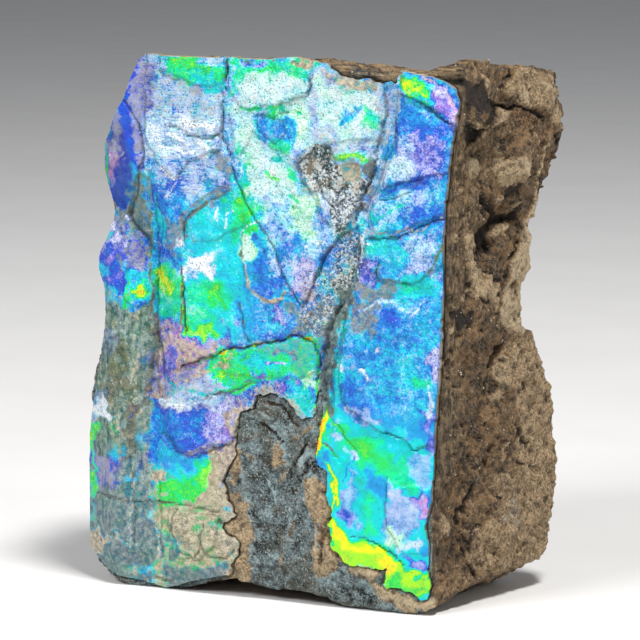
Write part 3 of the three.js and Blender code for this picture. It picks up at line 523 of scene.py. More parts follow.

# Streaks, lines and spots of colour: finish, width, line. A line of one point is a round spot.
# white streaks across the plate at the top left: painted glare of the light
STREAKS = table("""
royal .5: -22.9,76 -23.1,74 -22.7,72;
green .9: -27.3,64.4 -27.3,61;
blue .4: -17.4,72.8 -18.3,69.6;
blue .4: -16.2,71.6 -16.3,70.4;
slate .35: -17,69 -13.9,68.1;
slate .4: -13.7,67.6 -9.5,67.2 -8.6,67.7;
slate .3: -18.5,76.9 -17,75.8 -15,75.8 -12.5,74.9 -8,74.7;
white .3: -18.5,62.7 -17.8,62 -16.8,61.6 -16.1,60.4;
white .6: -19.6,67.8 -16,67.2 -13,66.4 -9,66.2;
white .5: -18.6,65.6 -11,65;
white .5: -15,69.6 -9.4,68.8;
cream 1: 2,78.8 5,78.2 7.4,77.4 9,76.4 12,75.7 16,75.4;
silver .22: 8.7,37.9 7.8,31.4;
silver .2: 10.2,42.8 9.3,38.7;
slate .3: 12.8,47.5 8.7,34.1 8.1,31;
umber .5: 13.1,52.3 11.7,47.7;
slate .35: 1.2,72.8 3,73.6 5,74.1 5.9,75.2 5.6,76.4;
cyan .9: 4,70.9;
green .6: -1.2,62.4 .6,61.8;
green .6: 2.2,59.6 3.4,58.8;
cyan .6: -4.6,62.6 -4.2,61.2;
tan .8: 7.8,77.9 10,76.5 16,75.8;
orange .3: 8.6,77.2 10.4,76.3;
rose .45: 21.9,77.3 24.7,76.6 26.6,75.2 27.7,72.8 28,70.8;
royal .35: 18,61 23,63.3;
lilac .3: -26.4,58.1 -23,54.9 -21.3,52.5;
umber .5: -25.8,57.2 -25.4,56.6;
slate .5: -25,56.4 -20.3,50;
olive .5: -20,60 -20.1,54 -19.8,49 -20,44 -19.6,38.5;
lime .7: -14.8,46.2 -14.4,38.6;
umber .3: -14.8,46 -14.5,39;
ash 1.1: -7.6,60.4 -12.4,57.6 -14.6,55.8 -15.4,53;
slate .8: -14.2,52.6 -14.3,54.8 -13,56.2 -7,59.7;
white .4: -9,57 -8.9,55.6;
white .4: -6.5,57 -7.5,56.1 -7.4,55;
white .4: -5,54 -4,55 -2.6,55.5;
cream .7: -4.5,50 -4.3,48 -4.5,46.5 -1.5,44 0,43.8 1.3,44.2 1.8,45.5;
olive .5: -4.8,50.8 -4.6,50.2;
royal .8: 6,46.9;
white .35: 5.4,52.4 6.4,53.2 7.6,53 8.2,53.8;
slate .5: -5.3,43.5 -4.6,39.5 -3.8,38;
lime .3: 4.1,39 6.7,38.8 7.2,37.8 7.2,36.4;
orange .4: 6.6,41.8 7.6,41.8 8.4,41.5;
slate .5: 2.5,40 3.5,41 4.3,42.5;
white .8: 14.6,53.2;
tan .35: 16,54.4 22.5,56.1 26,58;
teal .4: 16,56.8 20,59;
slate .35: 16.5,50.9 16,49.5 16.3,48.2 20.5,47.5;
olive .5: 24,49.4 25.3,51 25.7,53.5;
frost .8: 13.9,44 18.4,45.5 21.7,43.9 23.6,45.2;
white .5: 10.9,35.4 10.9,34.8;
white 1.1: 13.6,35.3 14.5,33.8;
white .8: 16.3,38.3;
frost .8: 24.4,34 24.9,31.7 24.5,29.3;
royal .4: 17,30.8 18.6,31.1 20,30.9;
cream .3: -23.2,38 -23,34 -23.1,28;
umber .6: -18.9,40 -19.1,36 -18.6,32 -18.8,29.4;
violet .5: -18,31.5 -15.5,33;
lime 1: -14.2,39 -12.2,39.1;
tan .35: -15,34.2 -8.5,36.5 .5,38.6;
slate .45: -11,29 -10,30 -5,31.2;
slate .4: -5,32 -2,32.6;
tan .7: -5.4,30.2 -5.1,28 -4,27.6 -3,28.2 -2.8,29.6 -2,30.7 -.8,31.3;
umber .5: -5.8,26.6 -6.4,23.8;
umber .4: -9.8,21.9 -7,23 -6.2,24;
yellow .6: -9.6,22.7 -8.2,23.1;
cyan .35: -18.4,22.4 -16.4,21 -14.1,20.1 -10,20.3;
blue .35: -14,20.3 -11,20.2;
umber .3: -30.5,13.1 -24,12.8 -16,13.1 -9,12.8;
cream .4: -23.3,19 -23.2,12 -23.5,6;
cream .4: -18.6,12 -18.9,4.6;
cream .5: -26.5,8.5 -24,6.2;
umber .9: -19.4,1.6 -17,1.4;
umber .9: -9,11.2 -4.2,11.2;
tan .5: 3.5,64.6 4.6,65.8 6.5,67.3 7.7,67.8;
tan .5: 4,62.8 5.2,61 7,59.4 7.6,57.6 7,55.2 7.6,52.8;
olive .4: 8,24.3 9,23.7 10,22.6;
yellow .9: 8.4,20.7 9.7,18.4 10.3,15.6;
lime .4: 7.3,24.2 8.4,23.8 10.3,22.2;
lime .3: 8.9,27.6 11,25.8 12.9,23.5;
blue .2: 12.9,22.7 11.5,20.5 10.6,18.5;
yellow .4: 7.2,21.9 8.7,19.9 9.5,17.2 9.5,13.5;
cream .5: 15,2.8 17,2.2 20,1.7 22,1.8 24.2,2.5;
cream .25: 15.2,63.1 15.1,61.5 13.3,57.8 12.5,55.2;
green .45: -5.3,71.8 .8,71.9;
teal .3: -2.9,70.5 -3,69.3 -2.8,68.3 -1.4,67.3 1,67.3;
umber .25: -5.3,78.6 3.8,78.8;
green .5: -8.5,36 -5.3,33.3 -3.6,32.9;
lime .35: -9.7,31.7 -8.5,32.6 -7.1,33.2;
teal .4: -8.8,34.1 -5.9,31.7 -3.6,31.3;
frost .5: -18.5,27.7 -14.1,28.5 -11.2,28.2 -8.3,27.2;
green .35: -12.3,29.4 -9.4,30.7 -5.9,31.2;
royal .7: -14.1,25.3 -11.8,24.4;
teal .6: -17.6,32.5 -16.3,31 -16.7,29.3;
orange .25: -12.3,34.9 -9.4,36.1 -2.5,37.6;
frost .8: -28.9,27.7 -28.2,25.7;
green .5: -29.6,23.6 -30,20.9 -29.6,17.1;
blue .5: -27.5,19.4 -26.9,16.8;
pink .4: -23,26.1 -23.3,25;
green .6: -27.3,65.7 -27.5,62.6 -26.9,60.2;
frost .4: -17.8,63 -15.8,61 -16.7,58.5;
yellow .9: 8.3,29.7 7.9,26.8 6.4,22.2;
orange .4: 7.8,28.9 7.3,26.1 6.4,23;
lime .4: 6.9,37.6 7.2,34 6.4,29.1;
orange .25: 2.2,39.1 5.5,39.1 6.9,37.6;
lilac .6: -3.7,33.2 -1.2,32.3;
lime .3: -18.9,48.1 -17.5,45.6 -16.7,42.9;
green .35: -9.6,32.8 -6.5,34.1 -4,36;
green .35: -6.5,30.5 -3.4,32.1 -.3,32.8;
lilac .5: -.9,35.4 1.6,35.2;
cream .35: -22.1,41.7 -22.6,27.4;
frost .3: -24.8,40.1 -24.6,37.2;
green .3: -23.5,47 -23.6,43;
slate .35: -14.9,35.3 -14.3,33.4 -12.7,34.1;
teal .35: -18.1,29.4 -14.6,30.5 -10.8,29.9;
green .3: -9.9,35.7 -8.2,36.9 -9.5,37.8;
umber .4: -19.8,48.6 -20.2,42.9 -19.7,37.3 -19,33.3;
""")

# Parts of the shell, each as the starts and ends of its fades, across and then up: where the colours are
# clear of grain, with how clear, where the plate is brushed sideways, and where it is combed upright.
CLEAR_PATCHES = (
    (0.75, [(5.0, 9.0)], [(32.0, 27.0)]),
    (0.45, [(-15.0, -12.0), (0.0, -4.0)], [(60.0, 54.0), (36.0, 40.0)]),
    (0.60, [(-20.5, -18.0)], [(22.0, 19.0), (11.0, 14.0)]),
    (0.60, [(-21.0, -23.0)], [(52.0, 58.0)]),
)
BRUSHED_PATCH = ([(-5.5, -8.5), (-22.0, -20.0)], [(56.0, 60.0)])
COMBED_PATCH = ([(-18.0, -20.0)], [(52.0, 44.0), (2.0, 16.0)])

# ---- The stone's marks -------------------------------------------------------------------------------

# Each stone finish, channel by channel: pale, rusty, slaty, dark, smooth, streaked upright.
PALE, RUST, SHALE, DARK, SMOOTH, UPRIGHT = range(6)
STONE_FINISHES = {
    "sand": (0.60, 0.05, 0.0, 0.0, 0.0, 0.0),
    # facet: pale, partly the stone's own paler tone, partly painted light on a facet turned to the light
    "facet": (0.86, 0.0, 0.0, 0.0, 0.5, 0.0),
    "gravel": (0.72, 0.10, 0.0, 0.05, 0.0, 0.0),
    # lip: pale, a painted highlight on the lit top of the flank's lip
    "lip": (0.90, 0.05, 0.0, 0.0, 0.4, 0.0),
    "olive": (0.10, 0.12, 0.0, 0.22, 0.3, 0.0),
    "pale": (0.95, 0.0, 0.0, 0.0, 0.5, 0.0),
    "tan": (0.70, 0.05, 0.0, 0.0, 0.3, 0.0),
    "rust": (0.1, 0.9, 0.0, 0.05, 0.2, 0.0),
    "warm": (0.22, 0.30, 0.0, 0.0, 0.0, 0.0),
    "umber": (0.02, 0.12, 0.0, 0.34, 0.0, 0.0),
    # the dark and black finishes go only with marks that sink the stone: painted shade in those hollows and
    # cracks
    "dark": (0.0, 0.05, 0.1, 0.95, 0.5, 0.0),
    "black": (0.0, 0.0, 0.2, 1.0, 0.2, 0.0),
    "strata": (0.1, 0.1, 0.0, 0.26, 0.0, 0.7),
    "streaked": (0.1, 0.1, 0.0, 0.28, 0.0, 1.0),
    "gleam": (0.95, 0.0, 1.0, 0.0, 0.4, 0.0),
    "grey": (0.60, 0.0, 0.35, 0.0, 0.3, 0.0),
}

# Marks on the right flank: finish, softness or width, rise, line or corners as (along, z). Along is
# measured from the flank's front edge.
# a paler facet: partly its own pale stone, partly painted light on a facet turned to the light
FLANK_FIELDS = table("""
umber 1 0: -2,82 -2,-2 40,-2 40,82;
strata 1.4 0: -1,80 -1,0 4.6,0 3.6,14 5.6,24 4.8,38 6.6,52 12,62 14,80;
streaked .5 0: -1,80 -1,0 2.2,0 2.8,40 2,80;
umber .6 0: 8.3,77.8 14.9,77.2 14.2,74.8 10.1,75.7;
sand .4 .35: 17.2,77.1 28,76 29.7,70.3 31.3,67.6 28.3,66.8 26.2,69.9 23.6,71.3 21.4,71.1 18.2,71.7
    17.2,73.6 15,74.6;
tan .3 .3: 7.9,76.8 10.1,76.5 10.5,75.1 9,75;
dark .3 -.1: 1.6,76 7.9,76 10.4,71.6 10.1,70 6.4,71.1 4.7,72.6 3.2,71.3 1.8,71.6;
umber .3 .25: 3.2,71.2 4.8,72.4 6.6,72.5 8.6,71.4 10.1,70 6.6,70.4;
dark .3 -.8: 3.7,70.1 10,69.2 9.3,67.2 6.9,66 4.5,67.2;
rust .4 .1: 16.8,71 21.8,70.6 24.5,68.6 25.7,66.4 24.6,65.6 22.3,67.9 18.8,68.6;
olive .5 -.1: 16,67.1 21.9,67.9 24.4,64.8 24.2,60.2 21.2,59.7 19.8,62.7 16.4,64.6;
tan .6 .1: 13.3,65.3 19.4,64.8 19.9,61 14.6,61.1;
tan .3 .4: 11.2,71 13.7,71.6 16.4,71.2 15.9,69.6 13.4,69 11.1,69.3;
pale .25 .35: 7.3,64.6 8.5,65.5 10.3,65.1 10.6,63.5 9.3,62.6 7.3,63.3;
tan .4 .2: 10.8,64.5 13.5,63.8 13.7,62.6 11.5,62.8;
black .3 -1: 10.2,73.1 13.1,73.3 13.7,72 11.1,71.8;
black .3 -.5: 16.6,60.5 19.2,60.7 20.1,59.4 17,59.2;
black .3 -.6: 27.9,67 31.5,66.6 30.2,65 28.9,65.7;
gravel .5 .2: 5.4,54.8 7.6,54.8 9.4,50.1 14.1,47.1 15.7,44.8 13.7,42.4 8.6,45.6 5.8,49.7;
black .35 -1.3: 9.2,58.9 12.6,58.8 14.1,57.2 19.1,56.5 18.8,55.5 16.1,55.4 14.3,54.5 13,52.2 10,52.7
    9.5,54.2 11.6,55.6 10.8,57.5;
tan .25 .6: 13.3,59.3 15.5,59.1 16,57.7 14.1,57.7;
tan .25 .6: 17.1,58.8 20.5,58.3 19.4,57.1 17.5,57.6;
tan .25 .5: 14.3,54.5 15.4,55.2 17.3,54.8 15.9,53.7 13.3,53;
pale .2 .3: .7,58.7 2.3,58.7 2.8,57.3 2.5,55.7 3.1,54.4 2.3,53.5 1.1,54.2 1.4,56;
facet .2 .35: 26.2,59.2 22.7,54.5 23.3,50.7 22.1,46.6 21.6,43.3 21.8,40.8 22.6,39.2 16.9,39.5 14.1,41.9
    15.3,45.1 19.3,53 21.2,54.5 24.3,58.6;
dark .3 -.2: 3.3,43.2 6.9,43.4 7,41.7 4.5,41.6;
sand .5 .1: 17.5,39.1 24.5,38.4 28.3,33.9 31.2,29.2 32.4,22.5 34.5,15.3 19.9,17.7 17.5,22.2 18.8,24.5
    17.6,28.9 17.5,33.2 16.5,36.5;
warm .8 0: 11.7,27.3 16.8,29.5 18.6,26.2 17.3,24.7;
tan .3 .6: 16.2,35.9 17.2,34.5 16.2,31.7 14.3,29.6 13.1,30 14.5,31.9 15.2,34.3;
umber .5 -.2: 29.8,27.6 31.5,28.7 32,23.9 30.1,25;
sand .9 0: 13.3,20.1 33.8,16.9 33.8,10.3 31.1,5.1 27.2,1.6 12.1,3.4 10.9,7.8 11.8,14;
grey 1.1 0: 16.6,16.8 19.7,16.3 20,8.8 17.7,8.7;
warm .8 0: 9.5,18.6 13.6,18.8 15.1,14.5 12,11.4 7.2,12;
tan .4 .3: 1,15 4.8,13.7 4.9,11.6 2,11.7;
warm .8 0: .6,6.1 12.1,3.1 2.1,1 -.1,1.5;
""")
# the lip: its pale streak is painted light on the lip's lit top, and the black streak under it is painted
# shadow
FLANK_STREAKS = table("""
lip .5 .45: 2.1,71.2 4.3,71 5.8,70.3 7.7,70.3 9.9,69.8;
black .6 -.6: 4.4,70.2 9.8,69.4;
tan .45 .1: 2.8,70.4 2.2,67.4;
rust .45 0: 1.3,69.5 .8,66.7 .5,62.3;
pale .6 .15: 3.8,67.1 2.9,65.9;
grey .7 .15: 2.6,65.8 1.4,64.4 1.2,63.3;
tan .4 .2: 4.2,64.6 6.3,63.2 7.8,62.5;
pale .4 .25: 10.1,68.6 9.3,67.2 8,66.1 5.9,65.7 5.4,64.1;
pale .7 .4: 25.7,67.2 24.7,65.4 24.6,60.2 23.6,58;
pale .35 .2: 21.4,68.8 22.5,66.8 24.2,65.7;
black .8 -.9: 11.2,71.4 13.7,72 16,71.4 18.3,71.5 21.4,71.1 23.4,70.3 24.9,70.6;
black .5 -.6: 16.8,76.7 14.9,76 13.5,73.5;
dark .6 -.4: 23.4,70.3 26.6,67.6;
pale .7 .15: 19.5,74.5 19.6,72.4;
pale .7 .15: 22.9,75.1 25.7,73.9 27.4,71.9;
pale .8 .2: 16.1,68.8;
pale 1.5 .25: 17.5,63.9 18.4,62.8;
pale .45 .2: 13.6,72.2 13.4,71.6;
pale .4 .1: 14.1,64.8 13.5,63.8;
tan .5 .1: 19.9,62.1 19.2,61.3;
pale .7 .15: 4.1,61.5 5.1,60.9;
pale .5 .15: 8,61.2 7.7,60.1;
black .6 -.4: 10,62.9 10.9,61.4 11.4,59.7;
pale .4 .3: 6.2,57.1 5.1,54.2;
tan .4 .2: 7,59.3 6.2,57.1;
dark .5 -.4: 5.5,50.1 6.2,48 12.5,42.7;
dark .45 -.3: 8.1,52.9 9.4,50.3 12.1,48.5 15.2,47;
tan .4 .2: 9.8,49.6 12.5,48.1 14.9,46.2;
dark .6 -.6: 20.8,54.4 19,52.8 14.9,45.3 13.8,42.3;
warm 1.4 -.1: 18.3,46.2 19.7,43.1;
pale 1 .2: 1.9,48.2 2.7,47.1;
pale .7 .2: 5.5,45.2 6.7,46.9;
pale .8 .2: 2.8,44.7;
pale .9 .2: 2.4,43;
pale .5 .15: 5.7,41.6 6.8,42;
pale .8 .2: 2.3,41.3 2.4,40.6;
pale .5 .15: 4.1,52.9 3.8,51.7;
pale .5 .15: 9.1,44.1 9.1,43.5;
dark .9 -.7: 15.3,37 14,34.1 12.4,31.4 12.1,28.9;
pale .7 .15: 1.4,36.6 1.1,34.8;
pale .8 .15: 1.2,32.1 1.3,28.8;
black .8 -.3: -.4,27.6 1.1,23;
dark .9 -.3: 21.6,30.8 21.3,30.6;
dark .8 -.3: 21.8,27.6;
dark .8 -.5: 17.6,25.6 19.5,23.7 22.5,22.4;
rust 1 -.5: 13.9,24 11.8,22.4 10.9,20;
black .7 -.5: 13.2,27.7;
tan .5 .3: 15.9,23.7 14.5,22.2 13.8,19.8;
dark .5 -.35: 17.9,20.3 21.1,19.5 24.4,18.3;
dark .9 -.6: 9.5,18.4 7.8,15.5 5.9,12.9 6.4,12.2;
dark .5 -.3: 7.5,11.9 10.1,11.1 12,11.2;
tan .35 .15: 7.2,11.5 9,10.9 11.3,10.6;
dark .5 -.35: 7.7,10.7 9.6,8.9 10.6,7;
dark .6 -.45: 8.9,8.4 11.9,3.2;
black .7 -.4: 14.3,16 15,15.1;
black .7 -.4: 28.8,11.5 30,10.7;
pale 1.1 .1: 19.2,10.4;
pale .7 .1: 20.6,8.2;
pale .7 .1: 24.3,8 24.5,7.5;
black 1 -.4: 2.2,15.1 3,14.8;
black .6 -.3: 2.8,6 4.6,5.5;
grey .6 .1: .6,18.4 .4,13.8 1.1,8.7 2.1,6.5;
tan .9 .2: 4.3,3.3;
rust .5 0: .2,74 .2,4;
""")

# Marks on the bare stone of the front: finish, softness or width, rise, line or corners as (x, z).
FRONT_FIELDS = table("""
tan .8 .15: 5.8,20.5 8.7,19.3 9.5,13.5 8.8,9.8 6.4,9.6 5.4,13.2 4.8,18;
tan .6 .15: -9.4,12 -8,-1 -5,-1 -3.8,10 -4.6,13.4 -8.4,17.6;
pale .5 .15: 12.7,6.8 15.9,5.8 17.3,3.9 15.9,3.6 13.8,4.3 11,6;
tan .7 .1: 7.1,12.5 8.7,12.7 9.6,7.8 8.9,5.2 7.5,6;
pale .4 .3: 14.4,5.6 19.6,2.9 22.4,2.4 24.8,3 24.8,.9 21,.8 17,1.8 14,3.6;
tan .5 .1: 6.4,8.4 8.8,8.9 9.5,6.2 7.8,5.1 6.4,5.9;
tan .6 .15: -7.9,23.4 -4.9,22.7 -4.6,18.5 -6.6,16.4 -8,16.9;
sand .8 .2: -8,8.9 -4.6,8.6 -3.9,5.5 -6.7,3.4 -8,3.9;
tan .5 .1: -.5,24 2.1,23.3 2.8,21.5 .1,21;
""")
FRONT_STREAKS = table("""
rust .8 0: -1,28;
black .35 -.5: 5.3,24 4.4,23 3.7,21.6 2.5,20 2.4,18.9;
black .35 -.5: 5.3,21.7 5,20.5 3.8,17.7;
gleam .6 .25: -2.3,27.8 -.9,26.7 -1.2,25.7 2.3,23.8;
gleam .5 .2: -2.8,28.9 -.9,28.7 1.2,28.2 2.5,26.9;
gleam .9 .3: 4.9,22.7 3.9,20.1;
gleam .5 .15: -2.3,19.6 -.9,17.3 .1,14.9;
dark .6 -.3: -2.3,26 -.1,24.9 2.5,23.2;
dark .6 -.25: -.7,29.3 1.5,29 4.1,26;
tan .6 .1: 3.6,24.5 5.5,26.2;
tan .7 .1: .4,17.6 1.5,18.7 2,20.5;
rust .5 0: -1.2,28.2 -.4,27.9;
tan .8 .1: -6.3,21.5 -4.7,21.4 -3.1,20.8;
tan .6 .1: .8,5 1.5,7.3;
pale .9 .1: 6.4,12 6.6,8.4;
rust .9 0: 7.6,12 7.6,6;
rust .7 0: 2.5,9.7 3,12;
""")

# ---- Repeatable roughness ----------------------------------------------------------------------------


def lattice(cells, salt):
    """A repeatable value between -1 and 1 for each lattice cell."""
    x, y, z = cells[:, 0], cells[:, 1], cells[:, 2]
    h = (x * 374761393 + y * 668265263 + z * 1442695041 + salt * 974634777) & 0xFFFFFFFF
    h = ((h ^ (h >> 13)) * 1274126177) & 0xFFFFFFFF
    return (h ^ (h >> 16)) / 2147483648.0 - 1.0


def lumps(points, size, salt=0):
    """Smooth roughness between -1 and 1 with lumps of a given size."""
    place = points / size
    cell = np.floor(place).astype(np.int64)
    t = place - cell
    t = t * t * (3 - 2 * t)
    total = np.zeros(len(points))
    for corner in range(8):
        step = np.array([corner & 1, (corner >> 1) & 1, corner >> 2])
        weight = np.prod(np.where(step == 1, t, 1 - t), axis=1)
        total += weight * lattice(cell + step, salt)
    return total


def rubble(points, size, octaves, salt=0):
    """Lumps of a size, with finer lumps on them."""
    total = np.zeros(len(points))
    for octave in range(octaves):
        total += lumps(points, size / 2**octave, salt + octave) / 2**octave
    return total


def facets(points, size, salt, crispness=14.0):
    """Fracture facets: each spot lies on the tilted plane of the nearest of many scattered seeds."""
    place = points / size
    cell = np.floor(place).astype(np.int64)
    weight_sum = np.full(len(points), 1e-9)
    height_sum = np.zeros(len(points))
    for corner in range(27):
        near = cell + np.array([corner % 3 - 1, corner // 3 % 3 - 1, corner // 9 - 1])
        jitter = np.stack([lattice(near, salt + i) for i in range(3)], 1)
        tilt = np.stack([lattice(near, salt + 3 + i) for i in range(3)], 1)
        away = place - (near + 0.5 + 0.42 * jitter)
        weight = np.exp(-crispness * np.sum(away * away, 1))
        height = np.sum(away * tilt, 1) + 0.4 * lattice(near, salt + 6)
        weight_sum += weight
        height_sum += weight * height
    return height_sum / weight_sum


def ramp(x, low, high):
    """From 0 at low to 1 at high, smoothly. Low may be the larger."""
    t = np.clip((x - low) / (high - low), 0, 1)
    return t * t * (3 - 2 * t)


def hill(distance):
    """A smooth hill of height 1 at distance 0 that has died away by distance 1."""
    return np.exp(-3 * distance * distance)


# ---- Outlines and lines on a face --------------------------------------------------------------------


def stretches(u, v, line):
    """For each stretch of a line, how far along it each place lies, from 0 to 1, and how far away."""
    for (u0, v0), (u1, v1) in zip(line, line[1:]):
        du, dv = u1 - u0, v1 - v0
        t = np.clip(((u - u0) * du + (v - v0) * dv) / (du * du + dv * dv), 0, 1)
        yield t, np.hypot(u - u0 - t * du, v - v0 - t * dv)


def line_distance(u, v, line):
    """How far each place is from a line through points, or from a single point."""
    if len(line) == 1:
        return np.hypot(u - line[0][0], v - line[0][1])
    return np.min([away for _, away in stretches(u, v, line)], axis=0)


def inside_distance(u, v, corners):
    """How far each place is inside a closed outline, negative outside."""
    closed = list(corners) + [corners[0]]
    odd = np.zeros(u.shape, bool)
    for (u0, v0), (u1, v1) in zip(closed, closed[1:]):
        if v0 != v1:
            crosses = (v0 > v) != (v1 > v)
            odd ^= crosses & (u < (u1 - u0) * (v - v0) / (v1 - v0) + u0)
    return np.where(odd, 1.0, -1.0) * line_distance(u, v, closed)


def near_places(u, v, line, margin):
    """The indices of the places that lie in a line's box, widened by a margin."""
    us, vs = zip(*line)
    inside = (u > min(us) - margin) & (u < max(us) + margin)
    inside &= (v > min(vs) - margin) & (v < max(vs) + margin)
    return np.flatnonzero(inside)


def measured_near(measure, u, v, line, margin):
    """The indices of the places near a line, and a measure from the line to each of them."""
    index = near_places(u, v, line, margin)
    return index, measure(u[index], v[index], line)


def field_weight(u, v, corners, softness, feather):
    """1 inside an outline and 0 outside, over a soft and feathered edge, with the indices it holds for."""
    index, inside = measured_near(inside_distance, u, v, corners, 3.0 * softness + 0.3)
    inside = inside + (0.3 + 1.3 * softness) * feather[index]
    return index, ramp(inside, -1.2 * softness, 1.2 * softness)


def streak_weight(u, v, line, width, feather):
    """1 along a line and 0 beside it, broken up by the feather, with the indices it holds for."""
    index, away = measured_near(line_distance, u, v, line, 1.5 * width)
    away = away + 0.45 * width * np.abs(feather[index])
    return index, ramp(away, 0.66 * width, 0.30 * width)


def on_plane(u, v):
    """Points on an upright plane, for the functions that make roughness."""
    return np.stack([u, np.zeros_like(u), v], 1)


def ragged(u, v, reach, salt):
    """Places moved a little, so that what is drawn on them gets ragged edges."""
    flat = on_plane(u, v)
    du, dv = (
        lumps(flat, 3.4, first) + 0.7 * lumps(flat, 1.3, first + 1) + 0.45 * lumps(flat, 0.55, first + 2)
        for first in (salt, salt + 3)
    )
    return u + reach * du, v + reach * dv


def flake_places(x, z):
    """Places on the front, moved so that flakes and grooves get ragged edges."""
    return ragged(x, z, 0.32, 20)


def patch_weight(x, z, across, up):
    """1 in a part of the front and 0 outside: the starts and ends of its fades, across and up."""
    weight = np.ones(len(x))
    for values, fades in ((x, across), (z, up)):
        for start, full in fades:
            weight = weight * ramp(values, start, full)
    return weight


# ---- The front face ----------------------------------------------------------------------------------


def past_facet_edge(x, z):
    """How far each place on the front is left of the edge where the upper left facet bends back."""
    return -22.2 - 0.28 * np.maximum(0, z - 60) - x


def face_relief(x, z):
    """How far the front stands forward of FACE_Y, as on the frame's solids."""
    left_facet = -0.52 * np.maximum(0, past_facet_edge(x, z)) * ramp(z, 50, 58)
    left_roll = -0.032 * np.maximum(0, -22.5 - x) ** 2 * ramp(z, 58, 50)
    valley_x = -20.6 + 1.2 * np.sin(0.09 * (z - 20))
    valley = -1.9 * hill((x - valley_x) / 4.4) * ramp(z, 62, 54) * ramp(z, 4, 34)
    left_column = 0.9 * hill((x + 26.5) / 4) * ramp(z, 52, 42)
    fissure_x = 4.6 + 0.25 * (z - 20)
    fissure = -0.9 * hill((x - fissure_x) / 3.4) * ramp(z, 16, 26)
    right_fall = -0.9 * ramp(x, 15, 28) - 1.3 * ramp(x, 20, 28) * ramp(z, 68, 77)
    foot_curl = -0.7 * ramp(z, 6, 0)
    crown = 0.7 * np.cos((x - 2) / 22) * np.cos((z - 40) / 36)
    return left_facet + left_roll + valley + left_column + fissure + right_fall + foot_curl + crown - 0.5


def taper_distance(u, v, line, width):
    """How far each place is outside a crack that narrows along its line, negative inside it."""
    nearest = np.full(u.shape, np.inf)
    for i, (t, away) in enumerate(stretches(u, v, line)):
        half = width / 2 * (1 - 0.75 * (i + t) / (len(line) - 1))
        nearest = np.minimum(nearest, away - half)
    return nearest


def shell_cover(x, z):
    """How far each place on the front is inside the shell, negative where the stone shows."""
    u, v = ragged(x, z, 0.28, 40)
    cover = inside_distance(x + 0.25 * (u - x), z + 0.25 * (v - z), SHELL_OUTLINE)
    loose_u, loose_v = ragged(x, z, 0.5, 44)
    for corners in BARE_PATCHES:
        cover = np.minimum(cover, -inside_distance(loose_u, loose_v, corners))
    for width, line in OPEN_CRACKS:
        cover = np.minimum(cover, taper_distance(u, v, line, width))
    return cover


# ---- Meshes ------------------------------------------------------------------------------------------


def new_object(name, data):
    """An object at the origin that holds a mesh, a light or a camera."""
    made = bpy.data.objects.new(name, data)
    bpy.context.scene.collection.objects.link(made)
    return made


def evaluated_mesh(piece):
    """A plain mesh of a piece as its modifiers leave it."""
    graph = bpy.context.evaluated_depsgraph_get()
    return bpy.data.meshes.new_from_object(piece.evaluated_get(graph))


def mesh_vectors(vectors, count, name):
    """A mesh's own list of vectors as an array."""
    flat = np.zeros(count * 3, np.float32)
    vectors.foreach_get(name, flat)
    return flat.reshape(-1, 3).astype(float)


def coordinates(mesh):
    """A mesh's points in millimetres."""
    return mesh_vectors(mesh.vertices, len(mesh.vertices), "co") / MM


def point_normals(mesh):
    """A mesh's normals at its points."""
    return mesh_vectors(mesh.vertex_normals, len(mesh.vertices), "vector")


def put_coordinates(mesh, points):
    """Moves a mesh's points to places in millimetres."""
    mesh.vertices.foreach_set("co", (points * MM).astype(np.float32).ravel())
    mesh.update()


def put_channels(mesh, values):
    """Stores one number at each point under each name, for the mesh's material."""
    for name, numbers in values.items():
        channel = mesh.attributes.new(name, "FLOAT", "POINT")
        channel.data.foreach_set("value", np.asarray(numbers, np.float32))


def lay(channels, index, weight, finish):
    """Brings some of the points nearer to a finish. Where it says None, the channel stays as it was."""
    for channel, value in enumerate(finish):
        if value is not None:
            channels[channel, index] += weight * (value - channels[channel, index])


def paint_shell(channels, u, v):
    """Lays the shell's fields and then its streaks over the channels, in order, with feathered edges."""
    loose = ragged(u, v, 0.5, 240)
    feathers = [rubble(on_plane(u, v), size, 3, 200 + 10 * i) for i, size in enumerate(FEATHER_SIZES)]
    for marks, weigh, places in ((FIELDS, field_weight, loose), (STREAKS, streak_weight, (u, v))):
        for i, (finish, size, line) in enumerate(marks):
            index, weight = weigh(*places, line, size, feathers[i % len(feathers)])
            lay(channels, index, weight, FINISHES[finish])


# ---- Shader nodes ------------------------------------------------------------------------------------


def linear(red, green, blue):
    """A colour in the shader's own numbers, from its usual 0 to 255 ones."""
    shares = [c / 255 for c in (red, green, blue)]
    return [s / 12.92 if s <= 0.04045 else ((s + 0.055) / 1.055) ** 2.4 for s in shares] + [1.0]


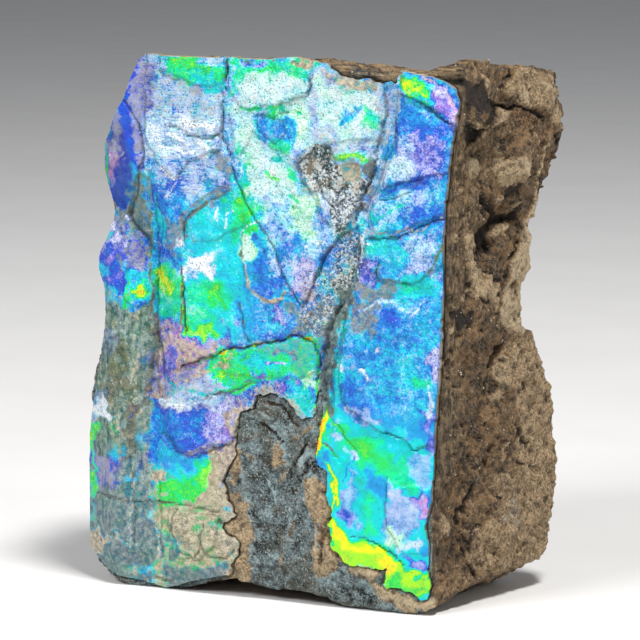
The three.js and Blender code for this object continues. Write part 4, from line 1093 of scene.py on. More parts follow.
class Wiring:
    """Adds nodes to a node tree and links them."""

    def __init__(self, tree):
        self.tree = tree

    def node(self, kind, **settings):
        made = self.tree.nodes.new(kind)
        for name, value in settings.items():
            setattr(made, name, value)
        return made

    def feed(self, socket, value):
        """Links a socket to another one, or gives it a constant."""
        if isinstance(value, bpy.types.NodeSocket):
            self.tree.links.new(value, socket)
        else:
            socket.default_value = value

    def fed(self, kind, values, **settings):
        """A node with its inputs fed, by their names or places."""
        made = self.node(kind, **settings)
        for name, value in values.items():
            self.feed(made.inputs[name], value)
        return made

    def channel(self, name):
        """What the mesh stores under a name."""
        return self.node("ShaderNodeAttribute", attribute_name=name).outputs["Fac"]

    def math(self, operation, a, b=0.0, clamp=False):
        return self.fed("ShaderNodeMath", {0: a, 1: b}, operation=operation, use_clamp=clamp).outputs[0]

    def most(self, first, *others):
        """The largest of some values."""
        for other in others:
            first = self.math("MAXIMUM", first, other)
        return first

    def scaled(self, value, factor, offset=0.0):
        values = {0: value, 1: factor, 2: offset}
        return self.fed("ShaderNodeMath", values, operation="MULTIPLY_ADD").outputs[0]

    def window(self, value, low, high, to_low=0.0, to_high=1.0):
        """A value's way from low to high, held at both ends."""
        ends = {"From Min": low, "From Max": high, "To Min": to_low, "To Max": to_high}
        return self.fed("ShaderNodeMapRange", {"Value": value, **ends}, clamp=True).outputs["Result"]

    def mix(self, factor, a, b):
        return self.fed("ShaderNodeMix", {"Factor": factor, 6: a, 7: b}, data_type="RGBA").outputs[2]

    def tones(self, value, low, high, dark, pale):
        """From a dark colour to a pale one as a value rises."""
        return self.mix(self.window(value, low, high), linear(*dark), linear(*pale))

    def noise(self, place, size, detail=3.0, roughness=0.55, stretch=None):
        if stretch:
            place = self.fed("ShaderNodeMapping", {"Vector": place, "Scale": stretch}).outputs[0]
        values = {"Vector": place, "Scale": 1 / (size * MM), "Detail": detail, "Roughness": roughness}
        return self.fed("ShaderNodeTexNoise", values).outputs["Fac"]

    def ripple(self, height, place, *shape):
        """Noise that swings about zero."""
        return self.scaled(self.noise(place, *shape), height, -height / 2)

    def bent(self, place, size, reach):
        """The place moved about a little, so that what is drawn on it isn't straight."""
        waves = self.fed("ShaderNodeTexNoise", {"Vector": place, "Scale": 1 / (size * MM), "Detail": 3.0})
        values = {0: waves.outputs["Color"], 1: (reach * MM, reach * MM, reach * MM), 2: place}
        return self.fed("ShaderNodeVectorMath", values, operation="MULTIPLY_ADD").outputs[0]

    def cells(self, place, size, output="Distance"):
        return self.fed("ShaderNodeTexVoronoi", {"Vector": place, "Scale": 1 / (size * MM)}).outputs[output]

    def bump(self, height, strength, distance):
        values = {"Strength": strength, "Distance": distance, "Height": height}
        return self.fed("ShaderNodeBump", values).outputs["Normal"]


def new_group(name, inputs, outputs, kind="ShaderNodeTree"):
    """An empty node group with named sockets: its wiring, its input node and its output node."""
    group = bpy.data.node_groups.new(name, kind)
    for socket, sort, default in inputs:
        made = group.interface.new_socket(socket, in_out="INPUT", socket_type=sort)
        if default is not None:
            made.default_value = default
    for socket, sort in outputs:
        group.interface.new_socket(socket, in_out="OUTPUT", socket_type=sort)
    return Wiring(group), group.nodes.new("NodeGroupInput"), group.nodes.new("NodeGroupOutput")


# The colours of the film, from its thinnest place at 0 to its thickest at 1.
FILM_COLOURS = [
    (0.00, (206, 138, 206)),
    (0.09, (138, 108, 214)),
    (0.16, (112, 118, 214)),
    (0.25, (34, 72, 210)),
    (0.33, (22, 110, 212)),
    (0.42, (26, 162, 228)),
    (0.51, (10, 212, 228)),
    (0.58, (0, 210, 202)),
    (0.65, (10, 228, 160)),
    (0.75, (36, 220, 84)),
    (0.83, (160, 242, 36)),
    (0.91, (250, 236, 26)),
    (1.00, (250, 142, 20)),
]


def film_group():
    """The interference colours of the shell's thin layers, from violet to orange, with small shifts."""
    inputs = [
        ("Film", "NodeSocketFloat", 0.4),
        ("Drift", "NodeSocketFloat", 0.1),
        ("Place", "NodeSocketVector", None),
    ]
    wires, given, out = new_group("Film colours", inputs, [("Color", "NodeSocketColor")])
    place = given.outputs["Place"]
    broad = wires.ripple(0.9, place, 3.0, 3.0, 0.6)
    fine = wires.ripple(0.9, place, 0.5, 4.0, 0.7)
    shift = wires.math("MULTIPLY", wires.math("ADD", broad, fine), given.outputs["Drift"])
    film = wires.math("ADD", given.outputs["Film"], shift, clamp=True)
    colours = wires.fed("ShaderNodeValToRGB", {"Fac": film})
    stops = colours.color_ramp.elements
    for stop, (position, colour) in zip(stops, (FILM_COLOURS[0], FILM_COLOURS[-1])):
        stop.position, stop.color = position, linear(*colour)
    for position, colour in FILM_COLOURS[1:-1]:
        stops.new(position).color = linear(*colour)
    wires.feed(out.inputs["Color"], colours.outputs["Color"])
    return wires.tree


def grain_group():
    """Mineral grain: a fine mottle, pale grains, pin-holes and chips, and the height that goes with them."""
    parts = ("Mottle", "Grains", "Holes", "Chips", "Height")
    outputs = [(part, "NodeSocketFloat") for part in parts]
    wires, given, out = new_group("Mineral grain", [("Place", "NodeSocketVector", None)], outputs)
    place = given.outputs["Place"]
    bent = wires.bent(place, 1.3, 0.9)
    chips = wires.scaled(wires.cells(bent, 0.8, "Color"), 0.4)
    chips = wires.scaled(wires.cells(bent, 1.9, "Color"), 0.6, chips)
    mottle = wires.noise(place, 0.9, 5.0, 0.74)
    grains = wires.window(wires.cells(place, 0.62), 0.34, 0.12)
    patchy = wires.window(wires.noise(place, 2.3, 2.0), 0.48, 0.62)
    grains = wires.math("MULTIPLY", grains, patchy)
    holes = wires.window(wires.noise(place, 0.6, 4.0, 0.7), 0.38, 0.30)
    height = wires.scaled(grains, 0.25, wires.scaled(holes, -0.5))
    height = wires.scaled(wires.noise(place, 0.34, 4.0, 0.72), 0.5, height)
    height = wires.scaled(chips, 0.35, wires.scaled(mottle, 0.7, height))
    for part, value in zip(parts, (mottle, grains, holes, chips, height)):
        wires.feed(out.inputs[part], value)
    return wires.tree


def new_material(name):
    """A material with its shader, its wiring and the place on the piece."""
    material = bpy.data.materials.new(name)
    material.use_nodes = True
    wires = Wiring(material.node_tree)
    shader = material.node_tree.nodes["Principled BSDF"]
    place = wires.node("ShaderNodeTexCoord").outputs["Object"]
    return material, wires, shader, place


def place_group(wires, group, **inputs):
    """The outputs of a shared group that is placed in a material."""
    return wires.fed("ShaderNodeGroup", inputs, node_tree=group).outputs


def stone_material(settings, grain):
    """Ironstone: warm brown with paler sand, rust and grey shale, with painted shade darkening its hollows.
    """
    material, wires, shader, place = new_material("ironstone")
    grit = place_group(wires, grain, Place=place)
    pale, rust, shale, dark = (wires.channel(name) for name in ("pale", "rust", "shale", "dark"))
    fleck = wires.noise(place, 0.38, 4.0, 0.72)
    blotch = wires.noise(place, 2.2, 5.0, 0.66)
    tone = wires.scaled(grit["Mottle"], 0.7, wires.scaled(grit["Chips"], 0.3))
    brown = wires.mix(wires.window(tone, 0.42, 0.59), list(settings.umber), list(settings.brown))
    sand = wires.tones(fleck, 0.34, 0.64, (108, 86, 60), (220, 188, 144))
    rusty = wires.tones(fleck, 0.40, 0.62, (58, 40, 25), (160, 122, 80))
    slated = wires.scaled(fleck, 0.45, wires.scaled(blotch, 0.55, wires.scaled(pale, 0.16)))
    shaly = wires.tones(slated, 0.42, 0.63, (18, 28, 32), (178, 204, 208))
    earthy = wires.window(wires.noise(place, 3.0, 4.0, 0.65), 0.46, 0.62, 0.0, 0.7)
    shaly = wires.mix(earthy, shaly, linear(98, 94, 76))
    glints = wires.window(wires.noise(place, 0.30, 3.0, 0.7), 0.58, 0.64, 0.0, 0.8)
    shaly = wires.mix(glints, shaly, linear(206, 226, 230))
    colour = wires.mix(wires.window(wires.scaled(fleck, 1.4, pale), 0.66, 1.30), brown, sand)
    bleached = wires.window(wires.scaled(fleck, 0.6, pale), 0.85, 1.2, 0.0, 0.75)
    colour = wires.mix(bleached, colour, linear(222, 200, 164))
    colour = wires.mix(wires.window(wires.scaled(fleck, 1.2, rust), 0.80, 1.25), colour, rusty)
    colour = wires.mix(wires.window(wires.scaled(fleck, 0.8, shale), 0.65, 1.05), colour, shaly)
    colour = wires.mix(wires.scaled(glints, 0.5), colour, linear(216, 202, 178))
    upright = wires.noise(place, 0.5, 4.0, 0.7, (1.0, 1.0, 0.3))
    upright = wires.tones(upright, 0.45, 0.58, (32, 22, 12), (196, 168, 126))
    colour = wires.mix(wires.scaled(wires.channel("upright"), 0.75), colour, upright)
    layered = wires.noise(place, 0.9, 5.0, 0.7, (0.2, 0.6, 1.5))
    layered = wires.tones(layered, 0.42, 0.58, (24, 17, 10), (176, 146, 106))
    colour = wires.mix(wires.scaled(wires.channel("layered"), 0.85), colour, layered)
    colour = wires.mix(wires.scaled(grit["Grains"], 0.6), colour, linear(214, 200, 172))
    veins = wires.math("ABSOLUTE", wires.ripple(1.0, place, 3.4, 5.0, 0.65))
    colour = wires.mix(wires.window(veins, 0.020, 0.004, 0.0, 0.4), colour, linear(28, 21, 14))
    # painted shade: the dark marks, the pin-holes and the sunken hollows of the relief are mixed towards
    # near black
    shadowed = wires.window(wires.scaled(fleck, 0.9, dark), 0.6, 1.2, 0.0, 0.9)
    hollow_shade = wires.window(wires.channel("hollow_shade"), 0.1, 0.6, 0.0, 0.85)
    deep = wires.most(shadowed, wires.scaled(grit["Holes"], 0.6), hollow_shade)
    colour = wires.mix(deep, colour, linear(20, 15, 11))
    wires.feed(shader.inputs["Base Color"], colour)
    wires.feed(shader.inputs["Roughness"], wires.window(fleck, 0.3, 0.7, 0.95, 0.6))
    wires.feed(shader.inputs["Normal"], wires.bump(wires.scaled(fleck, 0.5, grit["Height"]), 1.0, 1.1 * MM))
    return material


def grain_material():
    """The loose mineral grains: clear to tan, a little glassy."""
    material, wires, shader, place = new_material("mineral grains")
    colour = wires.tones(wires.noise(place, 1.7, 2.0), 0.35, 0.65, (118, 92, 62), (206, 194, 172))
    wires.feed(shader.inputs["Base Color"], colour)
    wires.feed(shader.inputs["Roughness"], wires.window(wires.noise(place, 0.4), 0.3, 0.7, 0.25, 0.7))
    return material


def shell_material(settings, film):
    """Ammolite: thin films of pure colour, glossy, milky or slaty in places, with a crusted, layered rim."""
    material, wires, shader, place = new_material("ammolite")
    names = ("milk", "slaty", "crust", "crack", "layer", "grainy")
    milk, slaty, crust, crack, layer, grainy = (wires.channel(name) for name in names)
    drift = wires.scaled(grainy, settings.drift)
    colour = place_group(wires, film, Film=wires.channel("film"), Drift=drift, Place=place)["Color"]
    fleck = wires.math("MULTIPLY", wires.ripple(1.2, place, 0.30, 3.0, 0.7), grainy)
    speckle = wires.ripple(1.2, place, 0.8, 4.0, 0.68)
    speckle = wires.math("MULTIPLY", speckle, wires.scaled(grainy, 0.8, 0.2))
    cloud = wires.ripple(1.0, place, 2.4, 5.0, 0.62)
    brushed = wires.ripple(1.1, place, 0.45, 3.0, 0.65, (0.2, 1.0, 1.6))
    brushed = wires.math("MULTIPLY", brushed, wires.channel("brushed"))
    combed = wires.ripple(1.0, place, 0.8, 4.0, 0.7, (1.0, 1.0, 0.2))
    combed = wires.math("MULTIPLY", combed, wires.channel("combed"))
    grained = wires.math("ADD", wires.math("ADD", fleck, speckle), wires.math("ADD", brushed, combed))
    shade = wires.window(wires.math("ADD", grained, cloud), -0.34, 0.06, 0.62, 1.0)
    colour = wires.mix(shade, linear(10, 40, 80), colour)
    # painted shade: the upper left facet, turned away from the light, is mixed towards deep blue
    colour = wires.mix(wires.channel("facet_shade"), colour, linear(14, 18, 74))
    milky = wires.math("ADD", milk, wires.scaled(wires.scaled(grained, 0.8, cloud), 0.9))
    colour = wires.mix(wires.window(milky, 0.22, 0.85, 0.0, 0.95), colour, linear(244, 249, 252))
    dulled = wires.window(wires.math("ADD", slaty, wires.scaled(grained, 0.8)), 0.22, 0.62)
    ash = wires.tones(wires.math("ADD", speckle, combed), -0.2, 0.2, (36, 42, 38), (150, 158, 152))
    ash = wires.mix(wires.window(cloud, 0.0, 0.1, 0.0, 0.4), ash, linear(104, 98, 76))
    earth = wires.tones(speckle, -0.2, 0.2, (58, 46, 32), (142, 124, 94))
    ash = wires.mix(wires.window(slaty, 0.93, 1.05), ash, earth)
    colour = wires.mix(wires.scaled(dulled, 0.9), colour, ash)
    crusted = wires.window(wires.math("ADD", crust, wires.math("ADD", grained, cloud)), 0.30, 0.66)
    tan = wires.tones(speckle, -0.18, 0.18, (118, 102, 80), (212, 196, 168))
    colour = wires.mix(wires.scaled(crusted, 0.92), colour, tan)
    crumbs = wires.scaled(wires.noise(place, 1.3, 3.0, 0.7), 0.4)
    crumbs = wires.scaled(wires.noise(place, 0.36, 3.0, 0.7), 0.6, crumbs)
    grit = wires.tones(crumbs, 0.46, 0.55, (12, 18, 22), (214, 222, 222))
    grit = wires.mix(wires.window(cloud, 0.02, 0.10, 0.0, 0.5), grit, linear(150, 132, 104))
    crushed = wires.math("ADD", wires.channel("crushed"), wires.scaled(grained, 1.3))
    crushed = wires.window(crushed, 0.30, 0.70)
    colour = wires.mix(wires.scaled(crushed, 0.88), colour, grit)
    dots = wires.window(wires.cells(place, 0.75), 0.20, 0.08)
    sparse = wires.window(wires.noise(place, 1.3, 2.0, 0.6), 0.50, 0.60)
    specks = wires.window(wires.noise(place, 0.26, 2.0, 0.6), 0.57, 0.64)
    specks = wires.math("MULTIPLY", specks, wires.window(milk, 0.35, 0.65))
    pits = wires.most(wires.math("MULTIPLY", dots, sparse), specks)
    colour = wires.mix(wires.scaled(pits, 0.7), colour, linear(12, 52, 70))
    # crack: painted shade in the grooves and along the edges of the flakes
    colour = wires.mix(wires.scaled(crack, 0.85), colour, linear(30, 32, 30))
    edge = wires.noise(place, 0.5, 3.0, 0.6, (0.3, 3.0, 0.3))
    edge = wires.tones(edge, 0.35, 0.65, (96, 76, 54), (196, 182, 156))
    colour = wires.mix(layer, colour, edge)
    wires.feed(shader.inputs["Base Color"], colour)
    plain = wires.most(dulled, crusted, crack, layer, crushed)
    wires.feed(shader.inputs["Metallic"], wires.window(plain, 0.0, 1.0, 0.30, 0.0))
    wires.feed(shader.inputs["Roughness"], wires.scaled(plain, 0.35, wires.scaled(speckle, 0.4, 0.32)))
    wires.feed(shader.inputs["Coat Weight"], wires.window(plain, 0.0, 1.0, settings.gloss, 0.03))
    shader.inputs["Coat Roughness"].default_value = 0.15
    shader.inputs["Specular IOR Level"].default_value = 0.3
    height = wires.scaled(cloud, 1.2, wires.scaled(grained, 0.9))
    wires.feed(shader.inputs["Normal"], wires.bump(height, 0.8, 0.25 * MM))
    return material


# ---- The stone ---------------------------------------------------------------------------------------


def merged_copy(node):
    """A closed mesh of a frame node, whose own mesh is loose triangles."""
    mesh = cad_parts[node].data.copy()
    shape = bmesh.new()
    shape.from_mesh(mesh)
    bmesh.ops.remove_doubles(shape, verts=shape.verts, dist=1e-6)
    shape.to_mesh(mesh)
    shape.free()
    return mesh


def even_mesh(mesh, cell):
    """The same form with evenly spaced points."""
    rough = new_object("rough block", mesh)
    remesh = rough.modifiers.new("Even", "REMESH")
    remesh.mode = "VOXEL"
    remesh.voxel_size = cell
    remesh.adaptivity = 0.0
    even = evaluated_mesh(rough)
    bpy.data.objects.remove(rough)
    return even


def flank_place(points):
    """Where each point is along the right flank, from the flank's front edge."""
    (x, y), (along_x, along_y) = FLANK_CORNER, FLANK_DIRECTION
    return (points[:, 0] - x) * along_x + (points[:, 1] - y) * along_y


def refine_seen_stone(mesh):
    """Cuts the flank and the bare stone of the front into finer faces."""
    shape = bmesh.new()
    shape.from_mesh(mesh)
    centres = np.array([face.calc_center_median() for face in shape.faces]) / MM
    normals = np.array([face.normal for face in shape.faces])
    flank = (normals[:, 0] > 0.45) & (centres[:, 0] > 22)
    front = (normals[:, 1] < -0.6) & (centres[:, 1] < -13)
    bare = front & (shell_cover(centres[:, 0], centres[:, 2]) < 0.6)
    shape.faces.ensure_lookup_table()
    edges = {edge for i in np.flatnonzero(flank | bare) for edge in shape.faces[i].edges}
    bmesh.ops.subdivide_edges(shape, edges=sorted(edges, key=lambda e: e.index), cuts=1, use_grid_fill=True)
    bmesh.ops.triangulate(shape, faces=shape.faces)
    shape.to_mesh(mesh)
    shape.free()


def add_marks(channels, rise, index, u, v, fields, streaks):
    """Lays marked finishes on some of the points and raises or sinks the stone there."""
    part = channels[:, index]
    lift = rise[index]
    feather = rubble(on_plane(u, v), 2.0, 3, 300)
    for marks, weigh in ((fields, field_weight), (streaks, streak_weight)):
        for finish, size, height, line in marks:
            near, weight = weigh(u, v, line, size, feather)
            lift[near] += weight * height
            lay(part, near, weight, STONE_FINISHES[finish])
    channels[:, index] = part
    rise[index] = lift


def stone_mesh(settings):
    """The block with its broken surface, and the channels that its material reads."""
    mesh = even_mesh(merged_copy("stone_matrix"), settings.cell)
    refine_seen_stone(mesh)
    points, normals = coordinates(mesh), point_normals(mesh)
    x, y, z = points.T
    facing = normals[:, 0]
    along = flank_place(points)
    channels = np.zeros((6, len(points)))
    marked_rise = np.zeros(len(points))

    face_depth = y - (FACE_Y - face_relief(x, z))
    on_front = (normals[:, 1] < -0.55) & (face_depth < 2.6)
    cover = np.full(len(points), -9.0)
    cover[on_front] = shell_cover(x[on_front], z[on_front])
    bare = ramp(cover, 0.5, -0.6) * on_front
    beyond = on_front & (x > PLAIN_FRONT)
    channels[SHALE] = on_front & ~beyond
    channels[DARK] = 0.45 * beyond
    channels[UPRIGHT] = 0.8 * beyond
    channels[SMOOTH] = 0.6 * on_front
    front = np.flatnonzero(on_front)
    u, v = ragged(x[front], z[front], 0.35, 60)
    add_marks(channels, marked_rise, front, u, v, FRONT_FIELDS, FRONT_STREAKS)

    turned_right = facing > FLANK_TURN
    on_flank = np.flatnonzero(turned_right & (x > FLANK_LEFT) & ~on_front)
    u, v = ragged(along[on_flank], z[on_flank], 0.45, 70)
    u = u + 0.35 * lumps(points[on_flank], 0.9, 72)
    v = v + 0.35 * lumps(points[on_flank], 0.9, 73)
    add_marks(channels, marked_rise, on_flank, u, v, FLANK_FIELDS, FLANK_STREAKS)
    elsewhere = (~on_front) & ((x < FLANK_LEFT) | ~turned_right)
    channels[PALE, elsewhere] = ramp(lumps(points[elsewhere], 9.0, 80), -0.2, 0.7) * 0.5
    channels[RUST, elsewhere] = ramp(lumps(points[elsewhere], 7.0, 81), 0.1, 0.8) * 0.6
    rim_side = elsewhere | (on_front & (cover < -0.3)) | (facing < 0.5)
    crest = rim_side * ramp(z, TOP_Z - 5.0, TOP_Z - 3.4) * ramp(y, 2.0, -6.0) * ramp(x, 2.0, 6.0)
    beds = crest * ramp(lumps(points * (0.12, 1.0, 1.0), 1.5, 140), 0.1, 0.5)
    channels[DARK] = np.maximum(channels[DARK], beds)
    marked_rise -= 0.9 * beds

    coarse = facets(points, 4.6, 90, 30.0)
    medium = facets(points, 1.9, 100, 30.0)
    fine = facets(points, 0.95, 120, 20.0) + 0.4 * lumps(points, 0.7, 110)
    pitted = -0.3 * ramp(rubble(points, 1.1, 2, 130), 0.55, 0.85)
    rough = 0.36 * medium + 0.40 * fine + pitted
    broken = settings.facet_depth / MM * (0.42 * coarse + rough * (1 - 0.6 * channels[SMOOTH]))
    broken = np.where(on_front, 0.6 * broken, broken)
    lower = ramp(z, 40.0, 34.0) * ramp(along, 8.0, 12.0) * turned_right
    ripples = lumps(on_plane((0.9 * along - 0.42 * z) / 3.2, 0.42 * along + 0.9 * z), 1.1, 150)
    beside_shell = ramp(along, 4.5, 2.0) * turned_right
    splints = lumps(points * (1.0, 1.0, 0.16), 0.8, 151)
    broken = broken + 0.26 * lower * ripples + 0.30 * beside_shell * splints
    rise = broken + marked_rise
    rise = np.where(on_front & (cover > -0.4), np.minimum(rise, 0.1), rise)
    moved = points + normals * rise[:, None]
    moved[:, 1] -= BARE_RISE * bare
    low = np.array(CAD_BOX[0]) / MM - BOX_ALLOWANCE
    high = np.array(CAD_BOX[1]) / MM + BOX_ALLOWANCE
    low[2] = 0.0
    put_coordinates(mesh, np.clip(moved, low, high))
    # how far each point lies sunk in the relief, stored for the material as painted shade in the hollows
    sunk = -(0.4 * medium + 0.4 * fine) - 0.8 * pitted - 0.35 * np.minimum(marked_rise, 0)
    loose = np.where(on_front, 0.35 * bare, 1.0) * (1 - 0.5 * channels[SMOOTH]) * (z > 0.6)
    put_channels(mesh, {
        "pale": channels[PALE],
        "rust": channels[RUST],
        "shale": channels[SHALE],
        "dark": channels[DARK],
        "upright": channels[UPRIGHT],
        "layered": crest,
        "hollow_shade": np.clip(sunk, 0, 1),
        "grit": loose,
    })
    mesh.shade_smooth()
    return mesh


# ---- The loose grains --------------------------------------------------------------------------------


def grain_tree(material):
    """Geometry nodes that scatter small angular grains over a stone."""
    inputs = [
        ("Geometry", "NodeSocketGeometry", None),
        ("Per square metre", "NodeSocketFloat", 90000.0),
        ("Smallest", "NodeSocketFloat", 0.08 * MM),
        ("Largest", "NodeSocketFloat", 0.18 * MM),
        ("Seed", "NodeSocketInt", 7),
    ]
    outputs = [("Geometry", "NodeSocketGeometry")]
    wires, given, out = new_group("Scattered grains", inputs, outputs, "GeometryNodeTree")
    source = given.outputs
    grit = wires.fed("GeometryNodeInputNamedAttribute", {"Name": "grit"}, data_type="FLOAT")
    density = wires.math("MULTIPLY", source["Per square metre"], grit.outputs["Attribute"])
    spread = {"Mesh": source["Geometry"], "Density": density, "Seed": source["Seed"]}
    scatter = wires.fed("GeometryNodeDistributePointsOnFaces", spread)
    grain = wires.fed("GeometryNodeMeshIcoSphere", {"Radius": 1.0, "Subdivisions": 1})
    smallest, largest = (
        wires.fed("ShaderNodeCombineXYZ", {axis: source[name] for axis in range(3)}).outputs[0]
        for name in ("Smallest", "Largest")
    )
    sizes = {0: smallest, 1: largest, "Seed": source["Seed"]}
    size = wires.fed("FunctionNodeRandomValue", sizes, data_type="FLOAT_VECTOR")
    full_turn = {1: (math.tau, math.tau, math.tau)}
    turn = wires.fed("FunctionNodeRandomValue", full_turn, data_type="FLOAT_VECTOR")
    placed = {
        "Points": scatter.outputs["Points"],
        "Instance": grain.outputs["Mesh"],
        "Scale": size.outputs[0],
        "Rotation": turn.outputs[0],
    }
    instances = wires.fed("GeometryNodeInstanceOnPoints", placed)
    real = wires.fed("GeometryNodeRealizeInstances", {0: instances.outputs[0]})
    dressed = wires.fed("GeometryNodeSetMaterial", {"Geometry": real.outputs[0], "Material": material})
    wires.feed(out.inputs["Geometry"], dressed.outputs[0])
    return wires.tree


def scattered_grains(stone, settings, material):
    """A plain mesh of all the grains that lie on the stone."""
    tree = grain_tree(material)
    carrier = new_object("grain carrier", stone.data)
    scatter = carrier.modifiers.new("Scatter", "NODES")
    scatter.node_group = tree
    values = {
        "Per square metre": settings.per_square_metre,
        "Smallest": settings.smallest,
        "Largest": settings.largest,
        "Seed": settings.seed,
    }
    for socket in tree.interface.items_tree:
        if socket.in_out == "INPUT" and socket.name in values:
            scatter[socket.identifier] = values[socket.name]
    mesh = evaluated_mesh(carrier)
    carrier.modifiers.remove(scatter)
    bpy.data.objects.remove(carrier)
    return mesh


# ---- The shell ---------------------------------------------------------------------------------------


def kept_cells(cover):
    """The cells of the grid that the shell fills, with no two that touch only at a corner."""
    count = (cover > 0).astype(int)
    cells = (count[:-1, :-1] + count[1:, :-1] + count[:-1, 1:] + count[1:, 1:]) >= 3
    for _ in range(4):
        a, b, c, d = cells[:-1, :-1], cells[1:, :-1], cells[:-1, 1:], cells[1:, 1:]
        touching = (a & d & ~b & ~c) | (b & c & ~a & ~d)
        rows, columns = np.nonzero(touching)
        for row in (0, 1):
            for column in (0, 1):
                cells[rows + row, columns + column] = True
    return cells


def large_islands(cells, least):
    """Only the cells that hang together in islands of at least so many."""
    label = np.arange(cells.size).reshape(cells.shape) + 1
    label[~cells] = 0
    while True:
        before = label.copy()
        for _ in range(40):
            for axis in (0, 1):
                for shift in (1, -1):
                    other = np.roll(label, shift, axis)
                    edge = [slice(None), slice(None)]
                    edge[axis] = 0 if shift == 1 else -1
                    other[tuple(edge)] = 0
                    label = np.where(cells, np.maximum(label, other), 0)
        if np.array_equal(before, label):
            break
    names, sizes = np.unique(label[label > 0], return_counts=True)
    return np.isin(label, names[sizes >= least])


def shell_relief(x, z, settings):
    """How far the shell's face stands forward of FACE_Y: folds, flakes, grooves and crumple."""
    flat = on_plane(x, z)
    relief = face_relief(x, z) + 0.16 * lumps(flat, 6.0, 1) + 0.08 * lumps(flat, 2.6, 2)
    u, v = flake_places(x, z)
    for rise, corners in FLAKES:
        index, inside = measured_near(inside_distance, u, v, corners, 0.4)
        relief[index] += rise * ramp(inside, -0.12, 0.22)
    for width, depth, line in GROOVES:
        index, away = measured_near(line_distance, u, v, line, width)
        relief[index] -= depth * hill(away / (0.55 * width))
    crumple = settings.crumple / MM * (rubble(flat, 1.5, 3, 5) + 0.8 * facets(flat, 2.4, 8))
    return relief + crumple


def shell_sheets(settings):
    """The front of the shell as a fine grid cut to the shell's outline: x, z, quads and rim edges."""
    step = settings.cell / MM
    xs = np.arange(FACE_LEFT, FACE_RIGHT, step)
    zs = np.arange(-0.2, TOP_Z + 0.8, step)
    grid_z, grid_x = np.meshgrid(zs, xs, indexing="ij")
    x, z = grid_x.ravel(), grid_z.ravel()
    cover = shell_cover(x, z).reshape(grid_x.shape)
    cells = large_islands(kept_cells(cover), LEAST_ISLAND)
    rows, columns = np.nonzero(cells)
    width = len(xs)
    corner = rows * width + columns
    quads = np.stack([corner, corner + 1, corner + width + 1, corner + width], 1)
    padded = np.pad(cells, 1)
    around = padded[:-1, :-1].astype(int) + padded[1:, :-1] + padded[:-1, 1:] + padded[1:, 1:]
    rim = ((around > 0) & (around < 4)).ravel()
    slope_z, slope_x = (slope.ravel() for slope in np.gradient(cover, step))
    steepness = np.maximum(slope_x**2 + slope_z**2, 0.25)
    reach = 0.45 * step
    x = x + rim * np.clip(-cover.ravel() * slope_x / steepness, -reach, reach)
    z = z + rim * np.clip(-cover.ravel() * slope_z / steepness, -reach, reach)
    used, flat_quads = np.unique(quads, return_inverse=True)
    flat_quads = flat_quads.reshape(-1, 4)
    edges = np.concatenate([flat_quads[:, [i, (i + 1) % 4]] for i in range(4)])
    _, first, uses = np.unique(np.sort(edges, 1), axis=0, return_index=True, return_counts=True)
    return x[used], z[used], flat_quads, edges[first[uses == 1]]


def back_sheet(x, z, rim_edges):
    """A coarse sheet that fills the rim: the rim's points and edges, the sheet's places and triangles, and
    which place each of the rim's points has become."""
    rim = np.unique(rim_edges)
    number = {int(point): i for i, point in enumerate(rim)}
    edges = [(number[int(a)], number[int(b)]) for a, b in rim_edges]
    xs = np.arange(FACE_LEFT, FACE_RIGHT, BACK_STEP)
    zs = np.arange(0.0, TOP_Z, BACK_STEP)
    inner_x, inner_z = (grid.ravel() for grid in np.meshgrid(xs, zs))
    inner_x = inner_x + 0.2 * BACK_STEP * np.sin(3 * inner_z)
    deep = shell_cover(inner_x, inner_z) > 0.5 * BACK_STEP
    places = np.concatenate([np.stack([x[rim], z[rim]], 1), np.stack([inner_x[deep], inner_z[deep]], 1)])
    made = geometry.delaunay_2d_cdt([Vector(place) for place in places], edges, [], 0, 1e-7)
    place_of = {source: i for i, given in enumerate(made[3]) for source in given}
    wall = {tuple(sorted((place_of[a], place_of[b]))) for a, b in edges}
    return rim, edges, np.array([tuple(p) for p in made[0]]), inner_faces(made[2], wall), place_of


def shell_mesh(settings):
    """The shell: the fine front, a rim that runs back into the stone, and a coarse back."""
    x, z, quads, rim_edges = shell_sheets(settings)
    rim, edges, places, back_faces, place_of = back_sheet(x, z, rim_edges)
    front_y = FACE_Y - shell_relief(x, z, settings)
    middle_y = 0.55 * front_y + 0.45 * (FACE_Y - face_relief(x, z) + RIM_SEAT)
    back_y = FACE_Y - face_relief(*places.T) + BACK_SEAT
    front = np.stack([x, front_y, z], 1)
    middle = np.stack([x, middle_y, z], 1)[rim]
    back = np.stack([places[:, 0], back_y, places[:, 1]], 1)
    middle_start, back_start = len(front), len(front) + len(middle)
    faces = [tuple(quad) for quad in quads.tolist()]
    for (a, b), (i, j) in zip(rim_edges.tolist(), edges):
        back_i, back_j = back_start + place_of[i], back_start + place_of[j]
        faces.append((b, a, middle_start + i, middle_start + j))
        faces.append((middle_start + j, middle_start + i, back_i, back_j))
    faces += [tuple(back_start + i for i in reversed(face)) for face in back_faces]
    points = np.concatenate([front, middle, back])
    mesh = bpy.data.meshes.new("ammolite")
    mesh.from_pydata((points * MM).tolist(), [], faces)
    mesh.update()
    dress_shell(mesh, points, np.arange(len(points)) >= len(front))
    return mesh


def face_edges(face):
    """A face's edges, each as its two points in order of number."""
    return [tuple(sorted(pair)) for pair in zip(face, face[1:] + face[:1])]


def inner_faces(faces, wall):
    """Of the triangles over the whole outline, those on the shell: each wall is a step in or out."""
    users = {}
    for i, face in enumerate(faces):
        for edge in face_edges(face):
            users.setdefault(edge, []).append(i)
    inside = {owners[0]: edge in wall for edge, owners in users.items() if len(owners) == 1}
    waiting = list(inside)
    while waiting:
        i = waiting.pop()
        for edge in face_edges(faces[i]):
            for other in users[edge]:
                if other not in inside:
                    inside[other] = inside[i] ^ (edge in wall)
                    waiting.append(other)
    return [face for i, face in enumerate(faces) if inside[i]]


